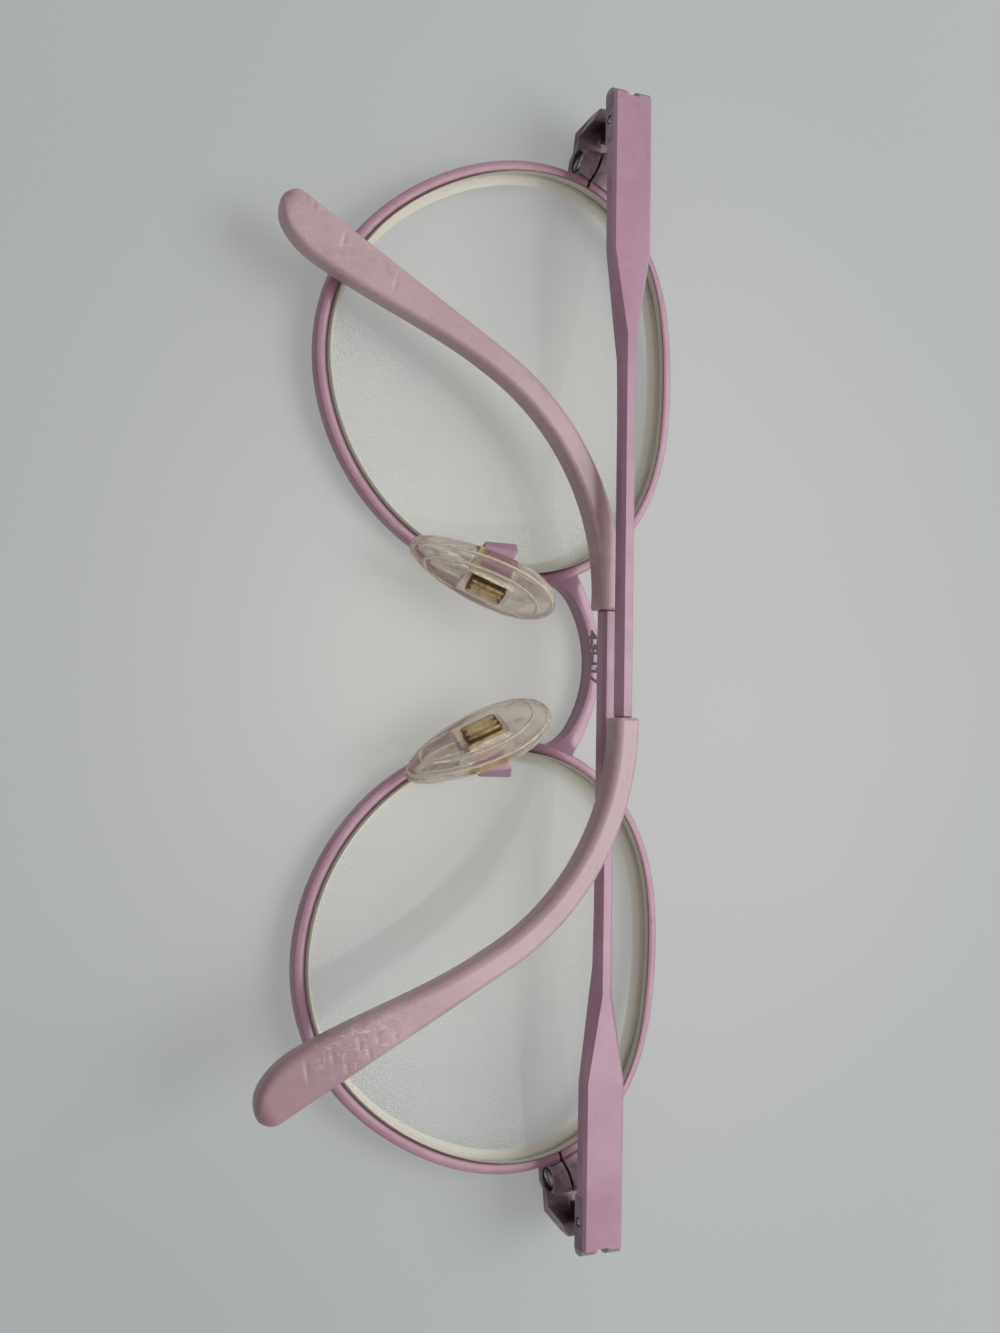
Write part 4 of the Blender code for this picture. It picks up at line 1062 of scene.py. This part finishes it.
def make_pad_core(label, place):
    """Add the moulded loop, hem and ribs that show inside a clear pad."""
    loop = []
    for i in range(PAD_STEPS):
        angle = 2 * math.pi * i / PAD_STEPS
        x = LOOP_HALF[0] * math.cos(angle) * (1 + LOOP_EGG * math.sin(angle))
        y = -LOOP_DOWN + LOOP_HALF[1] * math.sin(angle)
        loop.append(Vector((x, y, LOOP_LEVEL)))
    hem = egg_ring(HEM_STEPS, HEM_IN, HEM_LEVEL)
    pieces = [tube(loop, LOOP_RADIUS, closed=True), tube(hem, HEM_RADIUS, closed=True)]
    lift = Vector((0, 0, LOOP_LEVEL + RIB_LIFT))
    for start, end in PAD_RIBS:
        a, b = Vector((*start, 0.0)) * MM, Vector((*end, 0.0)) * MM
        path = [a.lerp(b, i / RIB_STEPS) + lift for i in range(RIB_STEPS + 1)]
        pieces.append(tube(path, LOOP_RADIUS))
    add_piece(f"pad_core_{label}", merge(pieces), PAD_CORE, f"{label}_pad",
              place, PAD_SMOOTH)


def rounded_outline(low, high, turn, steps=32):
    """Return the points of a rectangle between two corners, rounded by turn."""
    points = []
    for i in range(steps):
        angle = 2 * math.pi * (i + 0.5) / steps
        c, s = math.cos(angle), math.sin(angle)
        points.append(((high[0] if c > 0 else low[0]) - math.copysign(turn, c) + turn * c,
                       (high[1] if s > 0 else low[1]) - math.copysign(turn, s) + turn * s))
    return points


def make_pad_plate(label, place):
    """Add the ribbed brass plate moulded into a pad, on the root of its insert."""
    back, face, ridge = 1.40 * MM, 1.52 * MM, 1.54 * MM
    wide, tall, turn = 1.1 * MM, 1.9 * MM, 0.4 * MM
    outline = rounded_outline((-wide, -tall), (wide, tall), turn)
    plate = loft([[(x, y, z) for x, y in outline] for z in (back, face)])
    pieces = [plate]
    rib_half, rib_radius, steps = 1.75 * MM, 0.24 * MM, 16
    for x in (-0.74 * MM, 0.0, 0.74 * MM):
        path = [Vector((x, rib_half * (2 * i / steps - 1), ridge)) for i in range(steps + 1)]
        pieces.append(tube(path, rib_radius, 12))
    item = add_piece(f"pad_plate_{label}", merge(pieces), BRASS, f"{label}_pad",
                     place, 50.0)
    # The flat plate takes the dark brass: painted shade between the ribs.
    item.data.materials.append(RIB_GAP_SHADED_BRASS)
    for polygon in item.data.polygons[:len(plate[1])]:
        polygon.material_index = 1


def make_arm_plate(label, side, place):
    """Add the pad arm's end plate, which is soldered along the side of the box."""
    flip = Matrix.Diagonal((side, 1, 1, 1))
    place = place @ flip @ Matrix.Rotation(-side * PAD_ROCKS[label], 4, "Y") @ flip
    near, far = 1.17 * MM, 1.30 * MM
    outline = rounded_outline((-1.5 * MM, -2.1 * MM), (1.8 * MM, 0.1 * MM), 0.45 * MM)
    plate = loft([[(x, y, z) for y, z in outline] for x in (near, far)])
    add_piece(f"arm_plate_{label}", plate, PAINT, "front", place, 50.0)


# Plain size figures on the bridge: strokes on a grid one unit wide and two high.
STROKES = {
    "4": ((0.75, 0.0, 0.75, 2.0), (0.75, 2.0, 0.0, 0.7), (0.0, 0.7, 1.0, 0.7)),
    "3": ((0.0, 2.0, 1.0, 2.0), (1.0, 2.0, 0.45, 1.15), (0.45, 1.15, 1.0, 0.7),
          (1.0, 0.7, 0.6, 0.0), (0.6, 0.0, 0.0, 0.15)),
    "1": ((0.2, 1.5, 0.6, 2.0), (0.6, 2.0, 0.6, 0.0)),
    "7": ((0.0, 2.0, 1.0, 2.0), (1.0, 2.0, 0.4, 0.0)),
    "box": ((0.0, 0.0, 1.4, 0.0), (1.4, 0.0, 1.4, 2.0), (1.4, 2.0, 0.0, 2.0), (0.0, 2.0, 0.0, 0.0)),
}
# The figures of lens width and gap, each with its left edge in millimetres.
FIGURES = (("4", -3.6), ("3", -2.5), ("box", -1.35), ("1", 0.1), ("7", 1.0))
FIGURE_WIDE = 0.8 * MM
FIGURE_TALL = 0.38 * MM
FIGURE_MIDDLE = 0.2 * MM
MARK_DOWN = 0.55 * MM
MARK_CLEAR = 0.004 * MM
STROKE_HALF = 0.15 * MM
STROKE_THICK = 0.008 * MM
# Each stroke lies this much above the last, so that no two faces coincide.
STROKE_STEP = 0.0004 * MM


def make_size_mark():
    """Print plain size figures on the bridge's back face."""
    _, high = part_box("bridge")
    thick = Vector((0, 0, STROKE_THICK))
    strokes = []
    for sign, x in FIGURES:
        middle = x * MM + FIGURE_MIDDLE
        drop = sum(sphere_drop(radius, middle) for _, radius in (BRIDGE_UNDER, BRIDGE_TOP)) / 2
        corner = Vector((x * MM, high.y - MARK_DOWN - drop - FIGURE_TALL, high.z + MARK_CLEAR))
        for x0, y0, x1, y1 in STROKES[sign]:
            a = corner + Vector((x0 * FIGURE_WIDE, y0 * FIGURE_TALL, STROKE_STEP * len(strokes)))
            b = corner + Vector((x1 * FIGURE_WIDE, y1 * FIGURE_TALL, STROKE_STEP * len(strokes)))
            along = (b - a).normalized() * STROKE_HALF
            side = Vector((-along.y, along.x, 0))
            flat = [a - along - side, b + along - side, b + along + side, a - along + side]
            strokes.append((flat + [v + thick for v in flat], BOX_FACES))
    add_piece("size_mark", merge(strokes), INK, "front")


FLOOR_HALF = 3.0


def floor_tone(made):
    """Return the table's colour: a painted pool of light round the glasses, and painted shade away from the
    window.
    """
    patch = made.ramp(made.noise(90 * MM, 3.0, 0.5), 0.3, 0.7)
    brow = made.ramp(made.part("Y"), -55 * MM, 30 * MM)
    outer = made.mix(brow, srgb(175, 177, 178), srgb(181, 184, 184))
    tone = made.mix(patch, srgb(192, 193, 190), srgb(196, 197, 194))
    # Painted pool of light round the glasses.
    tone = made.mix(made.near((0.0, 18 * MM, 0.0), 10 * MM, 78 * MM), outer, tone)
    tone = made.mix(made.near((0.0, 0.0, 0.0), 2 * MM, 24 * MM), tone, srgb(202, 201, 197))
    # Painted falloff of light towards the far corner.
    far = made.ramp(made.part("X"), 20 * MM, 90 * MM, 0.0, 0.6)
    far = made.calc("MULTIPLY", far, made.ramp(made.part("Y"), 30 * MM, -40 * MM))
    return made.mix(far, tone, srgb(164, 167, 168))


def make_floor():
    """A plain pale surface that keeps only a weak shadow, as the photograph's does."""
    made = Finish("pale_table", srgb(186, 187, 185), 0.7, Specular_IOR_Level=0.3)
    tone = floor_tone(made)
    made.shade("Base Color", tone)
    made.bump(made.noise(1.5 * MM, 3.0), 0.01 * MM, 0.3)
    glow = made.node("Emission")
    made.put(glow, "Color", tone)
    path = made.node("LightPath")
    mirrored = made.calc("MAXIMUM", path.outputs["Is Glossy Ray"],
                         path.outputs["Is Transmission Ray"])
    seen = made.calc("MAXIMUM", path.outputs["Is Camera Ray"], mirrored)
    output = made.tree.nodes["Material Output"]
    made.cover(output, made.calc("MULTIPLY", seen, 0.5), made.shader, glow)
    mesh = bpy.data.meshes.new("floor")
    half = FLOOR_HALF
    mesh.from_pydata([(-half, -half, 0), (half, -half, 0), (half, half, 0), (-half, half, 0)],
                     [], [(0, 1, 2, 3)])
    mesh.materials.append(made.material)
    floor = add_object("floor", mesh)


def add_lamp(name, place, size, power):
    """Add a square area lamp that faces the glasses."""
    data = bpy.data.lights.new(name, "AREA")
    data.shape = "SQUARE"
    data.size = size
    data.energy = power
    lamp = add_object(name, data)
    turn = (-Vector(place)).to_track_quat("-Z", "Y").to_matrix().to_4x4()
    lamp.matrix_world = Matrix.Translation(place) @ turn


def make_world():
    """Surround the scene with light that is weaker on the cheek side, where the camera is."""
    world = bpy.data.worlds.new("surround")
    world.use_nodes = True
    made = Nodes(world.node_tree, "Generated")
    light = made.tree.nodes["Background"]
    made.put(light, "Color", (0.97, 0.985, 1.0, 1.0))
    made.put(light, "Strength", made.ramp(made.part("Y"), -0.9, 0.7, 0.26, 0.80))
    distance = made.node("Background")
    made.put(distance, "Color", srgb(167, 170, 170))
    seen = made.node("LightPath").outputs["Is Camera Ray"]
    made.cover(made.tree.nodes["World Output"], seen, light, distance)
    bpy.context.scene.world = world


def light_scene():
    """A wide soft key from the brow side, a small lamp for glints, and the surroundings."""
    add_lamp("key", (-0.03, 0.62, 0.78), 0.6, 4.9)
    add_lamp("glint", (0.0, -0.55, 0.83), 0.14, 0.35)
    make_world()


CAMERA_BACK = Vector((0.0396, -0.4223, 0.9056)).normalized()
CAMERA_RIGHT = Vector((-0.0307, 0.9054, 0.4235))
CAMERA_TARGET = Vector((0.00046, 0.00511, 0.0))
CAMERA_DISTANCE = 0.1576
CAMERA_LENS = 40.5
CAMERA_SENSOR = 36.0


def place_camera():
    """Look down at the back of the folded frame, as the photograph does."""
    data = bpy.data.cameras.new("camera")
    data.sensor_width = CAMERA_SENSOR
    data.lens = CAMERA_LENS
    data.clip_start = 1 * MM
    data.clip_end = 20.0
    camera = add_object("camera", data)
    right = (CAMERA_RIGHT - CAMERA_BACK * CAMERA_RIGHT.dot(CAMERA_BACK)).normalized()
    upwards = CAMERA_BACK.cross(right)
    turn = Matrix((right, upwards, CAMERA_BACK)).transposed().to_4x4()
    eye = CAMERA_TARGET + CAMERA_BACK * CAMERA_DISTANCE
    camera.matrix_world = Matrix.Translation(eye) @ turn
    bpy.context.scene.camera = camera


bpy.context.scene.view_settings.view_transform = "Standard"
dress_nodes()
FRAME_SHIFT = make_lenses()
make_bridge(FRAME_SHIFT)
make_brazes(FRAME_SHIFT)
make_tips()
make_pads()
make_size_mark()
make_floor()
light_scene()
place_camera()
